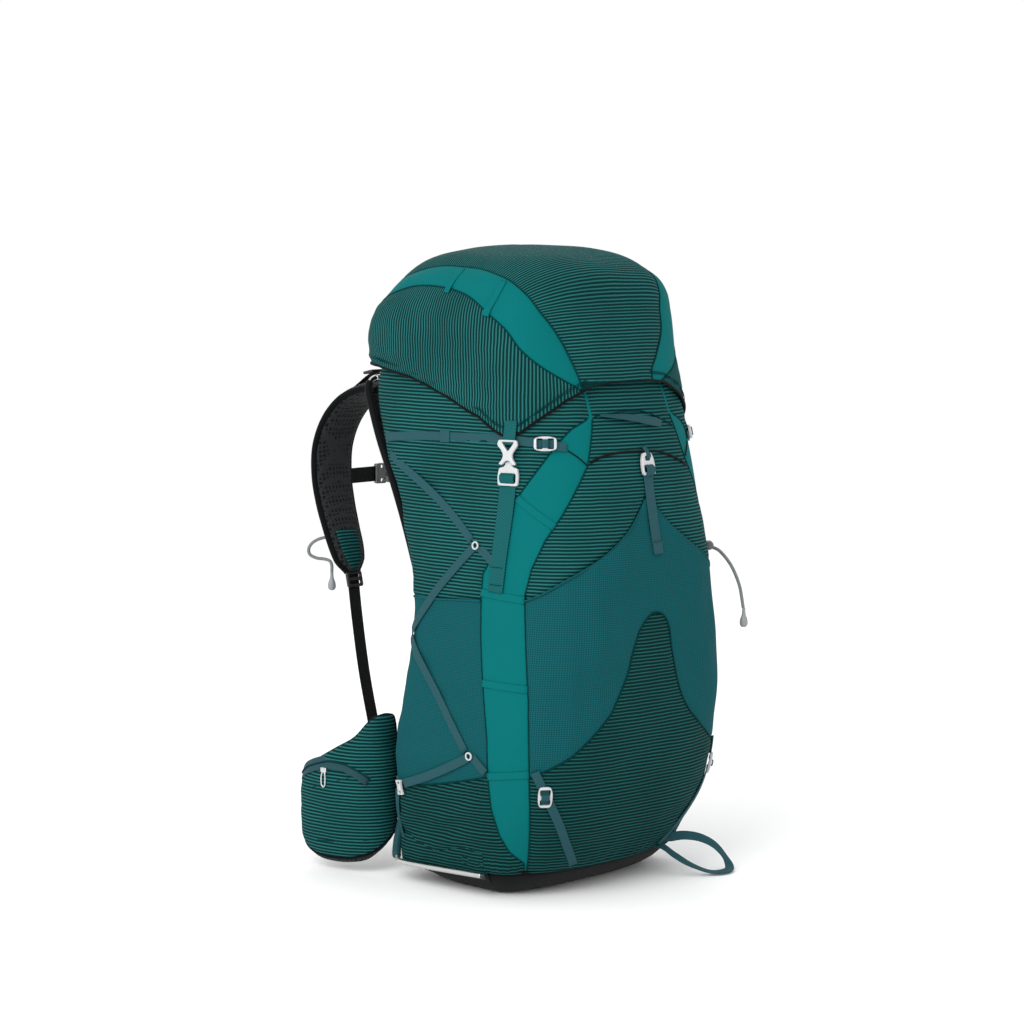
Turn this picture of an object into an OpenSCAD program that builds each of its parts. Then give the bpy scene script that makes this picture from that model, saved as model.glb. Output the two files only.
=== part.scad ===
// Internal-frame hiking backpack, modelled in millimetres.
// X is to the wearer's right, -Y is the front of the bag, +Y is the harness side, Z is up.
// The origin is on the ground, on the bag's centre plane, inside the foot of the base panel.

/* [Bag] */
// Half width of the bag at its widest, above the base
half_w = 169; // [166:1:171]
// Depth of the bag in front of the origin where it is deepest
front_d = 130; // [128:1:132]
// Depth of the bag behind the origin just above the base
back_d = 136; // [134:1:137]
// Thickness of the sewn fabric walls
wall = 3; // [2.6:0.1:3]
// Height where the walls meet the base panel
base_h = 30; // [29:1:32]
// Height where the walls meet the extension collar
wall_top = 530; // [529:1:532]
// Height of the open top of the collar
collar_top = 590; // [586:1:591]

/* [Pockets] */
// Depth of the front stretch pocket
front_pocket_d = 18; // [15:1:19]
// Depth of each side stretch pocket
side_pocket_d = 20; // [17:1:21]
// Thickness of the stretch mesh
mesh_t = 1.8; // [1.5:0.1:1.9]

/* [Lid] */
// Thickness of the lid's fabric
lid_wall = 2.5; // [2.2:0.1:2.6]
// Height of the lid floor's underside
lid_floor_z = 597; // [596:1:600]

/* [Webbing] */
// Width of the lid and sternum webbing
webbing_w = 20; // [18:1:20]
// Width of the compression webbing
narrow_w = 10; // [9:1:11]
// Thickness of all webbing
webbing_t = 1.3; // [1.1:0.1:1.4]
// Thickness of the moulded buckles
buckle_t = 3.4; // [3:0.1:3.5]

/* [Harness] */
// Width of a shoulder strap at the yoke
strap_w = 60; // [54:1:62]
// Thickness of a shoulder strap
strap_t = 17; // [14:1:18]
// Diameter of the aluminium frame rod
rod_d = 6; // [5:0.5:6]
// Radius of the cords
cord_r = 1.5; // [1.2:0.1:1.6]

/* [Hidden] */

// Bag sections: height, half width, front depth, back depth, front and back squareness, shift in Y
BAG = [
    [0, 120, 32, 112, 2.6, 4, 0], [12, 134, 54, 124, 2.6, 5, 0], [31, 146, 74, 131, 2.6, 5.5, 0],
    [60, 156, 94, 135, 2.7, 6, 0], [100, 164, 112, back_d, 3, 6, 0], [156, half_w, 123, 132, 3.3, 6, 0],
    [236, 165, 129, 117, 3.5, 6, 0], [305, 157, front_d, 110, 3.5, 6, 0], [369, 149, 127, 128, 3.4, 6, 0],
    [430, 143, 120, 151, 3.1, 6, 0], [476, 140, 113, 171, 2.9, 6, 0], [520, 138, 103, 190, 2.7, 6, 0],
    [560, 135, 88, 198, 2.6, 5.5, 0], [600, 128, 70, 184, 2.6, 5, 8]];
// Lid sections, in the same columns; below 560 they run a few millimetres outside the bag
LID = [
    [495, 143.5, 114, 184, 2.8, 6, 0], [520, 142.5, 108, 194.5, 2.7, 6, 0],
    [560, 141.5, 96, 205, 2.6, 5.5, 0], [605, 144, 112, 178, 3, 5, 30], [640, 143, 125, 152, 3.3, 4.3, 50],
    [664, 134, 130, 134, 3.2, 3.6, 53], [682, 122, 123, 123, 2.9, 2.9, 54], [698, 98, 97, 98, 2.6, 2.5, 55],
    [707, 62, 60, 62, 2.3, 2.2, 56], [711, 10, 10, 10, 2, 2, 56]];

// Angles of the corner strip's front and side seams by height, 0 at the front and 90 at the side
FRONT_SEAM = [[30, 50.4], [42, 50.4], [100, 52], [160, 53], [230, 55], [290, 58], [340, 60],
    [370, 57.5], [400, 52], [430, 44], [480, 32], [530, 26]];
SIDE_SEAM = [[30, 51.6], [42, 52], [56, 61], [76, 67], [105, 71.5], [140, 73], [182, 74], [236, 78],
    [290, 82], [335, 84], [360, 84], [387, 77], [421, 71.5], [443, 66], [465, 58.5], [502, 45.5],
    [518, 38], [530, 27.5]];
back_seam = 140;
// Top edge of the front pocket, by share of the way from the centre to the strip
POCKET_TOP = [[0, 440], [0.06, 437], [0.27, 406], [0.46, 385], [0.58, 373], [0.75, 357],
    [0.9, 341], [1, 335]];
// Hem height of the lid's skirt by angle
LID_HEM = [[0, 567], [14, 566], [24, 563], [38, 549], [51, 531], [62, 515], [68, 510], [74, 512],
    [80, 518], [95, 535], [105, 551], [116, 568], [129, 579], [145, 582], [180, 583]];
// Depth of the hollow in the back panel by height
BACK_HOLLOW = [[30, 0], [90, 10], [170, 26], [305, 32], [410, 28], [500, 12], [560, 0]];
// Side pocket edges, front then back
side_bottom = [141, 106];
side_top = [331, 324];
pocket_rear = 138;
buckle_th = 68;

// Shoulder strap centre line: X, Y, Z and width
STRAP = [[62, 216, 548, strap_w], [66, 238, 547, strap_w], [71, 264, 535, 59], [77, 284, 511, 58],
    [83, 293, 480, 57], [89, 289, 446, 56], [93, 279, 415, 54], [96, 267, 388, 51],
    [97, 256, 362, 47], [97, 250, 346, 36]];
// Hipbelt wing stations: X, Y, lowest Z, highest Z, half thickness
WING = [[119, 160, 44, 180, 8], [132, 161, 32, 182, 10], [146, 167, 20, 176, 11],
    [156, 182, 14, 156, 12], [162, 205, 12, 142, 12], [164, 230, 14, 128, 11],
    [162, 250, 22, 115, 9], [159, 261, 38, 104, 5]];
// Frame rod route up to the top bend; the middle follows the back of the bag
ROD_FOOT = [[150, -14, 25], [150, 50, 23], [150, 108, 22], [146, 125, 25], [136, 135, 38], [124, 140, 62]];
// Tool cord route: out of its lock, then hanging
TOOL_ROUTE = [[152.5, -89.6, 368.8], [154, -95, 367], [157, -102, 360], [160, -109, 350], [162, -115, 338],
    [163, -120, 325], [163, -123, 312], [163, -125, 302]];
// Pole cord route: out of the strap, round its loop, back across and down to its pull
POLE_ROUTE = [[101, 272, 373], [104, 280, 374], [110, 288, 372], [115, 295, 367], [117, 299, 360],
    [115, 299, 353], [110, 293, 349], [105, 285, 348], [103, 278, 346], [103, 275, 341], [103, 275, 334]];
// Axe loop route along the ground
AXE_ROUTE = [[92, -75, 38], [108, -84, 41], [126, -93, 37], [140, -103, 28], [147, -113, 15],
    [143, -124, 4], [128, -131, 2], [110, -123, 3], [95, -106, 12], [86, -90, 22], [82, -81, 30]];

function unit(v) = v / norm(v);
function lerp(a, b, s) = a + (b - a) * s;
function clamp01(x) = min(max(x, 0), 1);
// Smooth step from 0 at a to 1 at b
function ease(a, b, x) = let(s = clamp01((x - a) / (b - a))) s * s * (3 - 2 * s);
function find(tab, z, i = 0) = i >= len(tab) - 2 || z <= tab[i + 1][0] ? i : find(tab, z, i + 1);
function slope(tab, k) = let(a = max(k - 1, 0), b = min(k + 1, len(tab) - 1))
    (tab[b] - tab[a]) / (tab[b][0] - tab[a][0]);
// Smooth row of a section table at height z
function row(tab, z) = let(
    i = find(tab, z),
    h = tab[i + 1][0] - tab[i][0],
    s = clamp01((z - tab[i][0]) / h))
    tab[i] * (2 * s ^ 3 - 3 * s ^ 2 + 1) + slope(tab, i) * h * (s ^ 3 - 2 * s ^ 2 + s)
    + tab[i + 1] * (3 * s ^ 2 - 2 * s ^ 3) + slope(tab, i + 1) * h * (s ^ 3 - s ^ 2);
// Point on a sectioned surface at angle th and height z, moved outwards by d
function surf(tab, th, z, d = 0) = let(
    k = row(tab, z),
    ahead = cos(th) > 0,
    q = (ahead ? k[2] : k[3]) + d,
    n = ahead ? k[4] : k[5],
    r = (abs(sin(th)) ^ n + abs(cos(th)) ^ n) ^ (-1 / n))
    [(k[1] + d) * r * sin(th), k[6] - q * r * cos(th), z];
function normal(tab, th, z) = unit(cross(
    surf(tab, th + 1, z) - surf(tab, th - 1, z),
    surf(tab, th, z + 1) - surf(tab, th, z - 1)));
function back_y(z) = row(BAG, z)[3] + row(BAG, z)[6];
function steps(a, b, n) = [for (i = [0:n]) lerp(a, b, i / n)];

// Smooth line through points, m steps per stretch
function smooth(P, m) = let(n = len(P) - 1) [
    for (i = [0:n - 1], j = [0:m - 1]) let(
        s = j / m,
        ta = (P[i + 1] - P[max(i - 1, 0)]) / 2,
        tb = (P[min(i + 2, n)] - P[i]) / 2)
        P[i] * (2 * s ^ 3 - 3 * s ^ 2 + 1) + ta * (s ^ 3 - 2 * s ^ 2 + s)
        + P[i + 1] * (3 * s ^ 2 - 2 * s ^ 3) + tb * (s ^ 3 - s ^ 2),
    P[n]];
function along(P, i) = unit(P[min(i + 1, len(P) - 1)] - P[max(i - 1, 0)]);

// Closed wall between two grids of points of the same shape
module shell(outer, inner, wrap = false, cap = false, flip = false) {
    R = len(outer) - 1;
    C = len(outer[0]);
    m = (R + 1) * C;
    last = wrap ? C - 1 : C - 2;
    faces = [
        for (i = [0:R - 1], j = [0:last]) let(k = (j + 1) % C) each [
            [i * C + j, (i + 1) * C + j, (i + 1) * C + k], [i * C + j, (i + 1) * C + k, i * C + k],
            [m + i * C + j, m + (i + 1) * C + k, m + (i + 1) * C + j],
            [m + i * C + j, m + i * C + k, m + (i + 1) * C + k]],
        for (j = [0:last]) let(k = (j + 1) % C) each [[j, k, m + k], [j, m + k, m + j]],
        if (!cap) for (j = [0:last]) let(k = (j + 1) % C, t = R * C) each [
            [t + k, t + j, m + t + j], [t + k, m + t + j, m + t + k]],
        if (!wrap) for (i = [0:R - 1]) each [
            [(i + 1) * C, i * C, m + i * C], [(i + 1) * C, m + i * C, m + (i + 1) * C],
            [i * C + C - 1, (i + 1) * C + C - 1, m + i * C + C - 1],
            [(i + 1) * C + C - 1, m + (i + 1) * C + C - 1, m + i * C + C - 1]],
        if (cap) [for (j = [C - 1:-1:0]) R * C + j],
        if (cap) [for (j = [0:C - 1]) m + R * C + j]];
    turned = flip ? [for (f = faces) [for (i = [len(f) - 1:-1:0]) f[i]]] : faces;
    polyhedron([each for (r = outer) r, each for (r = inner) r], turned, 4);
}

// Solid through a row of closed rings, capped at both ends
module loft(rings) {
    C = len(rings[0]);
    R = len(rings) - 1;
    polyhedron([for (r = rings) each r], [
        [for (j = [C - 1:-1:0]) j],
        for (i = [0:R - 1], j = [0:C - 1]) let(k = (j + 1) % C, a = i * C, b = a + C) each [
            [a + j, b + k, b + j], [a + j, a + k, b + k]],
        [for (j = [0:C - 1]) R * C + j]], 4);
}

// Flat webbing along P, lying on the normals N
module ribbon(P, N, w, t) {
    loft([for (i = [0:len(P) - 1]) let(
        d = along(P, i),
        s = unit(cross(N[i], d)) * w / 2,
        n = unit(cross(d, s)) * t / 2)
        [P[i] + s + n, P[i] + s - n, P[i] - s - n, P[i] - s + n]]);
}

// Webbing on the bag's surface through [angle, height] stations
module on_bag(route, w, d0, t = webbing_t, tab = BAG, m = 4) {
    Q = smooth(route, m);
    ribbon([for (q = Q) surf(tab, q[0], q[1], d0 + t / 2)], [for (q = Q) normal(tab, q[0], q[1])], w, t);
}

// Round cord or rod along P
module tube(P, r, sides = 8) {
    function frame(i) = let(
        d = along(P, i),
        s = unit(cross(d, abs(d[2]) > 0.9 ? [1, 0, 0] : [0, 0, 1]))) [s, cross(d, s)];
    function carried(i, s) = let(d = along(P, i), p = s - d * (s * d)) unit(p);
    function sides_at(i, s) = i == len(P) ? [] : let(c = carried(i, s)) concat([c], sides_at(i + 1, c));
    sv = sides_at(0, frame(0)[0]);
    loft([for (i = [0:len(P) - 1]) let(d = along(P, i), u = sv[i], v = cross(d, u))
        [for (j = [0:sides - 1]) P[i] + (u * cos(-360 * j / sides) + v * sin(-360 * j / sides)) * r]]);
}

// Soft pad ring: rounded outline in the plane of u and v
function pad_ring(c, u, v, hu, hv, n = 3, m = 16) = [for (j = [0:m - 1]) let(
    a = -360 * j / m,
    r = (abs(cos(a)) ^ n + abs(sin(a)) ^ n) ^ (-1 / n))
    c + u * hu * r * cos(a) + v * hv * r * sin(a)];

// Puts a flat part, drawn in XY with +Y up the bag, on the surface with its thickness outwards
module place(tab, th, z, d) {
    p = surf(tab, th, z, 0);
    n = normal(tab, th, z);
    x = unit(cross([0, 0, 1], n));
    y = cross(n, x);
    q = p + n * d;
    multmatrix([[x[0], y[0], n[0], q[0]], [x[1], y[1], n[1], q[1]], [x[2], y[2], n[2], q[2]]]) children();
}
module left() mirror([1, 0, 0]) children();

// Ladder lock: a frame with two cross bars
module ladder_lock(w, h, t) {
    linear_extrude(t) difference() {
        square([w, h], center = true);
        for (s = [-1, 1]) translate([0, s * h * 0.25]) square([w - 4, h * 0.28], center = true);
    }
}

// --- Sewn bag ---
wall_rows = [base_h, 36, 42, 49, 56, 66, 76, 90, 105, 122, 140, 160, 182, 208, 236, 264, 290, 312,
    326, 335, 345, 360, 374, 387, 400, 410, 421, 432, 443, 454, 465, 480, 502, 518, wall_top];

function pocket_top(u) = lookup(abs(u), POCKET_TOP);
// Height above the pocket's edge over which the panel comes forward again, so that the mouth stays open
mouth_rise = 60;
// Distance that the front panel stands back behind the stretch pocket
function front_back_off(u, z) = let(top = pocket_top(u))
    (mesh_t + 0.3) * ease(top + 14, top + 3, z) * ease(38, 45, z)
    + (front_pocket_d - mesh_t - 0.3) * (1 - u ^ 4) * ease(top + mouth_rise, top - 26, z)
    * ease(42, 92, z);
module front_panel() {
    function grid(d) = [for (z = wall_rows) [for (u = steps(-1, 1, 16))
        surf(BAG, u * lookup(z, FRONT_SEAM), z, d - front_back_off(u, z))]];
    color("#15554f") shell(grid(0), grid(-wall));
}
function strip_grid(d) = [for (z = wall_rows) [for (u = steps(0, 1, 3))
    surf(BAG, lerp(lookup(z, FRONT_SEAM), lookup(z, SIDE_SEAM), u), z, d)]];
module corner_strip_right() color("#00787a") shell(strip_grid(0), strip_grid(-wall));
module corner_strip_left() left() corner_strip_right();

// Distance that the side panel stands back behind the side pocket
function side_back_off(u, z) = let(
    v = clamp01(u * 1.02),
    low = lerp(side_bottom[0], side_bottom[1], v),
    top = lerp(side_top[0], side_top[1], v))
    (mesh_t + 0.3) * ease(top + 12, top + 2, z) * ease(low - 12, low - 2, z)
    + (side_pocket_d - mesh_t - 0.3) * (1 - (2 * u - 1) ^ 4) * ease(top + 40, top - 16, z)
    * ease(low, low + 40, z);
module side_panel_right() {
    function grid(d) = [for (z = wall_rows) [for (u = steps(0, 1, 9))
        surf(BAG, lerp(lookup(z, SIDE_SEAM), back_seam, u), z, d - side_back_off(u, z))]];
    color("#15554f") shell(grid(0), grid(-wall));
}
module side_panel_left() left() side_panel_right();

// Angle left free beside the back panel's seams, in degrees
seam_gap = 0.2;
module back_panel() {
    rows = steps(base_h, wall_top, 16);
    function grid(d) = [for (z = rows) [for (u = steps(-1, 1, 10))
        surf(BAG, 180 + u * (180 - back_seam - seam_gap), z, d) - [0, lookup(z, BACK_HOLLOW) * (1 - u ^ 4), 0]]];
    color("#1b1d1f") shell(grid(0), grid(-wall));
}

ring_n = 40;
function ring(tab, z, d) = [for (j = [0:ring_n - 1]) surf(tab, 360 * j / ring_n, z, d)];
module base_panel() color("#121314") {
    shell([for (z = [base_h, 20, 12, 5, 0]) ring(BAG, z, 0)],
        [for (z = [base_h, 21, 14, 8, wall]) ring(BAG, z, -wall)], wrap = true, cap = true, flip = true);
}
module collar() {
    rows = [wall_top, 545, 560, 575, collar_top];
    color("#1f4f4c") shell([for (z = rows) ring(BAG, z, -0.6)], [for (z = rows) ring(BAG, z, -2.2)], wrap = true);
}
// Drawcord lying in the collar's hem, with its ends out at the front
module collar_drawcord() {
    z = collar_top - 6;
    P = [for (th = [8:8:352]) surf(BAG, th, z, 1.8)];
    color("#2b2d2e") tube(P, 1.3, 6);
}
module collar_cord_lock() color("#3a3d3f") {
    place(BAG, 0, collar_top - 6, 1.6) translate([0, 0, 3.5]) cube([9, 14, 7], center = true);
}

// --- Pockets ---
// Angle left free beside the pocket's hems, in degrees
hem_gap = 0.2;
module front_pocket() {
    function at(u, v, d) = let(z = lerp(46, pocket_top(u), v))
        surf(BAG, u * (lookup(z, FRONT_SEAM) - hem_gap), z, d);
    function grid(d) = [for (v = steps(0, 1, 16)) [for (u = steps(-1, 1, 20)) at(u, v, d)]];
    color("#2f6d72") shell(grid(0), grid(-mesh_t));
}
module side_pocket_right() {
    function at(u, v, d) = let(
        z = lerp(lerp(side_bottom[0], side_bottom[1], u), lerp(side_top[0], side_top[1], u), v))
        surf(BAG, lerp(lookup(z, SIDE_SEAM), pocket_rear, u), z, d);
    function grid(d) = [for (v = steps(0, 1, 10)) [for (u = steps(0, 1, 9)) at(u, v, d)]];
    color("#2f6d72") shell(grid(0), grid(-mesh_t));
}
module side_pocket_left() left() side_pocket_right();

// --- Frame and back ---
rod_gap = 5;
module frame_rod_right() {
    up = [for (z = [100:44:540]) [112, back_y(z) + rod_gap, z]];
    color("#9fa3a6") tube(concat(smooth(concat(ROD_FOOT, up, [[110, 205, 552], [104, 207, 560], [97, 207, 563]]), 2)),
        rod_d / 2, 8);
}
module frame_rod_left() left() frame_rod_right();
module frame_crossbar() color("#9fa3a6") {
    translate([-96, 207, 563]) rotate([0, 90, 0]) cylinder(r = rod_d / 2, h = 192, $fn = 24);
}
module back_mesh() {
    rows = steps(96, 546, 14);
    function grid(d) = [for (z = rows) [for (x = steps(108, -108, 4)) [x, back_y(z) + d, z]]];
    color("#1b1d1f") shell(grid(5.5), grid(4));
}
module lumbar_pad() color("#1b1d1f") {
    loft([for (x = steps(-112, 112, 8)) let(s = 1 - 0.25 * (abs(x) / 112) ^ 6)
        pad_ring([x, 157, 112], [0, 1, 0], [0, 0, 1], 9 * s, 68 * s)]);
}
module yoke() {
    rows = steps(444, 546, 6);
    function grid(d) = [for (z = rows) [for (x = steps(86, -86, 8)) [x, back_y(z) + d, z]]];
    color("#1b1d1f") shell(grid(13), grid(6));
}

// --- Webbing on the bag ---
module compression_strap_right() color("#3f646e") {
    on_bag([[131, 500], [116, 505], [95, 507], [80, 508], [66, 507], [56.5, 505]], narrow_w, 0.3);
    on_bag([[40.5, 499.5], [44.5, 501]], narrow_w, 0.3);
    on_bag([[131, 482], [112, 440], [92, 395]], narrow_w, 0.3);
    on_bag([[92, 385], [110, 345], [119, 322], [130, 290]], narrow_w, 0.4);
    on_bag([[130, 280], [108, 225], [87, 166]], narrow_w, 0.4);
    on_bag([[87, 157], [108, 134], [124, 117]], narrow_w, 0.4);
    on_bag([[129, 106], [131, 75], [131, 42]], narrow_w, 0.4);
    on_bag([[80, 378], [85, 387]], narrow_w, 0.3);
    on_bag([[77, 150], [80, 160]], narrow_w, 0.4);
}
module compression_strap_left() left() compression_strap_right();
// White hooks and bars that the zigzag webbing turns round, both sides
module strap_hooks() {
    module hooks() {
        for (s = [[88.5, 390, 1.9], [83.5, 162, 2]])
            place(BAG, s[0], s[1], s[2]) linear_extrude(2.4) difference() {
                circle(d = 9, $fn = 24);
                circle(d = 5, $fn = 24);
            }
        place(BAG, 126.8, 112, 2.1) linear_extrude(3) difference() {
            square([11, 15], center = true);
            square([7, 4], center = true);
        }
    }
    color("#e8e8ea") {
        hooks();
        left() hooks();
    }
}
// Textured webbing down each corner strip, below the lid buckle
module lid_webbings() {
    module side() on_bag([[70, 452], [72, 420], [74, 380], [75, 342]], webbing_w - 1, 0.4);
    color("#1d6f74") {
        side();
        left() side();
    }
}
module pad_straps() {
    module side() {
        on_bag([[44.5, 111], [40, 92], [34, 62], [27, 33]], narrow_w, 0.5);
        on_bag([[50.5, 150], [48, 138]], narrow_w, 0.5);
    }
    color("#3f646e") {
        side();
        left() side();
    }
}
module front_handle() {
    P = smooth([surf(BAG, -22, 532, 1.6), surf(BAG, -12, 530, 3.6), surf(BAG, 0, 526, 4.2),
        surf(BAG, 9, 522, 3.4), surf(BAG, 15, 520, 1.6)], 4);
    color("#3f646e") ribbon(P, [for (p = P) [p[0] / 300, -1, 0.15]], webbing_w - 6, webbing_t);
}

// --- Tool cord ---
module tool_cord() color("#8d9294") tube(smooth(TOOL_ROUTE, 3), cord_r, 8);
module tool_cord_lock() color("#8d9294") {
    translate([149.5, -84.5, 372]) rotate([0, 0, -47]) rotate([90, 0, 0])
        cylinder(r = 5.5, h = 13, center = true, $fn = 20);
}
module tool_cord_pull() color("#a4a8aa") {
    translate([163, -125.8, 280]) rotate_extrude($fn = 20) polygon(concat([[0, 0]],
        [for (a = [-80:20:60]) [4.6 * cos(a), 6 + 6 * sin(a)]], [[1.9, 17], [1.8, 21.6], [0, 21.6]]));
}

// --- Lower ends of the harness ---
module lower_webbing_right() {
    P = smooth([[97, 246, 338], [101, 236, 290], [107, 218, 225], [113, 197, 168], [117, 180, 130]], 4);
    color("#1b1d1f") ribbon(P, [for (p = P) [0, 1, 0.3]], webbing_w - 2, webbing_t);
}
module lower_webbing_left() left() lower_webbing_right();

// --- Front strap and its hook ---
module front_strap() color("#3f646e") {
    on_bag([[0.6, 462], [0.8, 435], [1.5, 405], [2.2, 379]], 12, 1);
}
module front_hook() color("#e8e8ea") {
    place(BAG, 0.6, 476, 1.2) linear_extrude(buckle_t) difference() {
        square([17, 22], center = true);
        translate([0, -4]) square([12, 7], center = true);
        translate([0, 6]) square([8, 5], center = true);
    }
}
module axe_loop() {
    P = smooth(AXE_ROUTE, 2);
    color("#3f646e") ribbon(P, [for (p = P) p[2] > 12 ? [0.2, -1, 0.3] : [0, -0.2, 1]], 8, webbing_t);
}
module haul_loop() {
    P = smooth([[-19, 214.5, 558], [-18, 219, 545], [-13, 225, 530], [0, 228, 523], [13, 225, 530],
        [18, 219, 545], [19, 214.5, 558]], 4);
    color("#1b1d1f") ribbon(P, [for (p = P) [0, 1, 0.25]], 16, webbing_t);
}

// --- Lid ---
crown = 710.6;
function lid_z(th, v) = lerp(lookup(th > 180 ? 360 - th : th, LID_HEM), crown, 1 - (1 - v) ^ 1.5);
module lid_shell() {
    n = 48;
    rows = steps(0, 1, 13);
    function outer(v) = [for (j = [0:n - 1]) surf(LID, 360 * j / n, lid_z(360 * j / n, v), 0)];
    function inner(v) = [for (j = [0:n - 1]) let(z = lid_z(360 * j / n, v))
        surf(LID, 360 * j / n, z, -lid_wall) - [0, 0, lid_wall * ease(645, 700, z)]];
    color("#15554f") shell([for (v = rows) outer(v)], [for (v = rows) inner(v)], wrap = true, cap = true);
}
module lid_floor() color("#1f4f4c") {
    translate([0, 0, lid_floor_z]) linear_extrude(1.6)
        polygon([for (p = ring(LID, lid_floor_z, -lid_wall - 0.4)) [p[0], p[1]]]);
}
module lid_zip_slider() color("#2b2d2e") {
    place(LID, 57, 656, 0.8) {
        translate([0, 0, 1.5]) cube([9, 6, 3], center = true);
        translate([-6, -5, 1.6]) cube([5, 14, 2], center = true);
    }
}
// Lid half of the side-release buckle: the outer layer, on a short tab
module lid_buckle_right() color("#e8e8ea") {
    place(BAG, buckle_th, 494, 7.4) {
        linear_extrude(buckle_t) difference() {
            polygon([[-12, 13], [12, 13], [12, 9], [6, -2], [11, -13], [-11, -13], [-6, -2], [-12, 9]]);
            translate([0, 8]) square([15, 3.5], center = true);
        }
        translate([0, 11, -1.4]) linear_extrude(webbing_t) square([15, 18], center = true);
    }
}
module lid_buckle_left() left() lid_buckle_right();
// Bag half of the same buckle: the inner layer, with the webbing through its loop
module webbing_buckle_right() color("#e8e8ea") {
    place(BAG, buckle_th + 1, 472, 2.2) linear_extrude(buckle_t) difference() {
        union() {
            translate([0, -7]) square([25, 15], center = true);
            translate([0, 5]) square([12, 14], center = true);
        }
        translate([0, -7]) square([20, 8], center = true);
    }
}
module webbing_buckle_left() left() webbing_buckle_right();

// --- Adjusters ---
module pad_adjuster_right() color("#e8e8ea") place(BAG, 46.4, 124, 1.4) ladder_lock(15, 23, buckle_t);
module pad_adjuster_left() left() pad_adjuster_right();
module side_adjuster_right() color("#e8e8ea") {
    place(BAG, 50.5, 503, 1.2) rotate([0, 0, 90]) ladder_lock(15, 24, buckle_t);
}
module side_adjuster_left() left() side_adjuster_right();

// --- Shoulder straps ---
strap_line = smooth([for (s = STRAP) [s[0], s[1], s[2]]], 2);
strap_width = smooth([for (s = STRAP) [s[3]]], 2);
module shoulder_strap_right() {
    n = len(strap_line) - 1;
    color("#1b1d1f") loft([for (i = [0:n]) let(
        d = along(strap_line, i),
        u = unit([1, 0, 0] - d * d[0]),
        v = cross(d, u),
        thin = i == 0 || i == n ? 0.6 : 1)
        pad_ring(strap_line[i], u, v, strap_width[i][0] / 2 * (i == n ? 0.7 : 1), strap_t / 2 * thin,
            3, 14)]);
}
module shoulder_strap_left() left() shoulder_strap_right();
module load_lifter_right() {
    P = smooth([[66, 222, 566], [68, 240, 564], [71, 256, 553], [74, 270, 542]], 4);
    color("#1b1d1f") {
        ribbon(P, [for (p = P) [0, 0.4, 1]], 14, webbing_t);
        translate([68, 240, 567]) rotate([-12, 0, 0]) cube([18, 16, 3], center = true);
    }
}
module load_lifter_left() left() load_lifter_right();

// --- Sternum strap ---
sternum_y = 290;
sternum_z = 442;
module sternum_strap_left() color("#2b2d2e") {
    translate([-37, sternum_y, sternum_z]) cube([40, webbing_t, webbing_w - 2], center = true);
    translate([-8.5, sternum_y, sternum_z]) difference() {
        cube([16, 6, 24], center = true);
        translate([6, 0, 0]) cube([14, 3.6, 18], center = true);
    }
}
module sternum_strap_right() color("#2b2d2e") {
    translate([36, sternum_y, sternum_z]) cube([42, webbing_t, webbing_w - 2], center = true);
}
module sternum_buckle() color("#2b2d2e") {
    difference() {
        union() {
            translate([8.5, sternum_y, sternum_z]) cube([15, 6, 24], center = true);
            translate([-1, sternum_y, sternum_z]) cube([9, 2.8, 15], center = true);
        }
        translate([11.25, sternum_y, sternum_z]) cube([17.5, webbing_t + 1, webbing_w - 1], center = true);
    }
}

// --- Hipbelt ---
function wing_out(i) = let(
    a = WING[max(i - 1, 0)],
    b = WING[min(i + 1, len(WING) - 1)]) unit([b[1] - a[1], a[0] - b[0], 0]);
module hipbelt_right() color("#15554f") {
    loft([for (i = [0:len(WING) - 1]) let(s = WING[i])
        pad_ring([s[0], s[1], (s[2] + s[3]) / 2], [0, 0, 1], wing_out(i), (s[3] - s[2]) / 2, s[4], 3, 18)]);
}
module hipbelt_left() left() hipbelt_right();
module hip_zip_slider_right() color("#c9cccf") {
    translate([177.5, 212, 118]) {
        cube([3, 9, 6], center = true);
        translate([0.5, 1, -12]) cube([2, 5, 18], center = true);
    }
}
module hip_zip_slider_left() left() hip_zip_slider_right();
// Belt webbing folded back inside the wing, with its buckle half
module hip_buckle_right() color("#2b2d2e") {
    translate([146.5, 222, 78]) {
        rotate([0, 0, -5]) cube([1.6, 58, 24], center = true);
        translate([-4.2, -13, 0]) cube([4.4, 34, 32], center = true);
    }
}
module hip_buckle_left() left() hip_buckle_right();

// --- Pole cord on the left shoulder strap ---
module pole_cord() color("#8d9294") left() tube(smooth(POLE_ROUTE, 3), cord_r, 8);
module pole_cord_pull() color("#a4a8aa") left() {
    translate([103, 275, 312]) rotate_extrude($fn = 20) polygon(concat([[0, 0]],
        [for (a = [-80:20:60]) [4.6 * cos(a), 6 + 6 * sin(a)]], [[1.9, 17], [1.8, 21.6], [0, 21.6]]));
}

front_panel();
corner_strip_left();
corner_strip_right();
side_panel_left();
side_panel_right();
back_panel();
base_panel();
collar();
collar_drawcord();
collar_cord_lock();
front_pocket();
side_pocket_left();
side_pocket_right();
frame_rod_left();
frame_rod_right();
frame_crossbar();
back_mesh();
lumbar_pad();
yoke();
compression_strap_left();
compression_strap_right();
strap_hooks();
lid_webbings();
pad_straps();
front_handle();
tool_cord();
tool_cord_lock();
tool_cord_pull();
lower_webbing_left();
lower_webbing_right();
front_strap();
front_hook();
axe_loop();
haul_loop();
lid_shell();
lid_floor();
lid_zip_slider();
lid_buckle_left();
lid_buckle_right();
webbing_buckle_left();
webbing_buckle_right();
pad_adjuster_left();
pad_adjuster_right();
side_adjuster_left();
side_adjuster_right();
shoulder_strap_left();
shoulder_strap_right();
load_lifter_left();
load_lifter_right();
sternum_strap_left();
sternum_strap_right();
sternum_buckle();
hipbelt_left();
hipbelt_right();
hip_zip_slider_left();
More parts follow.
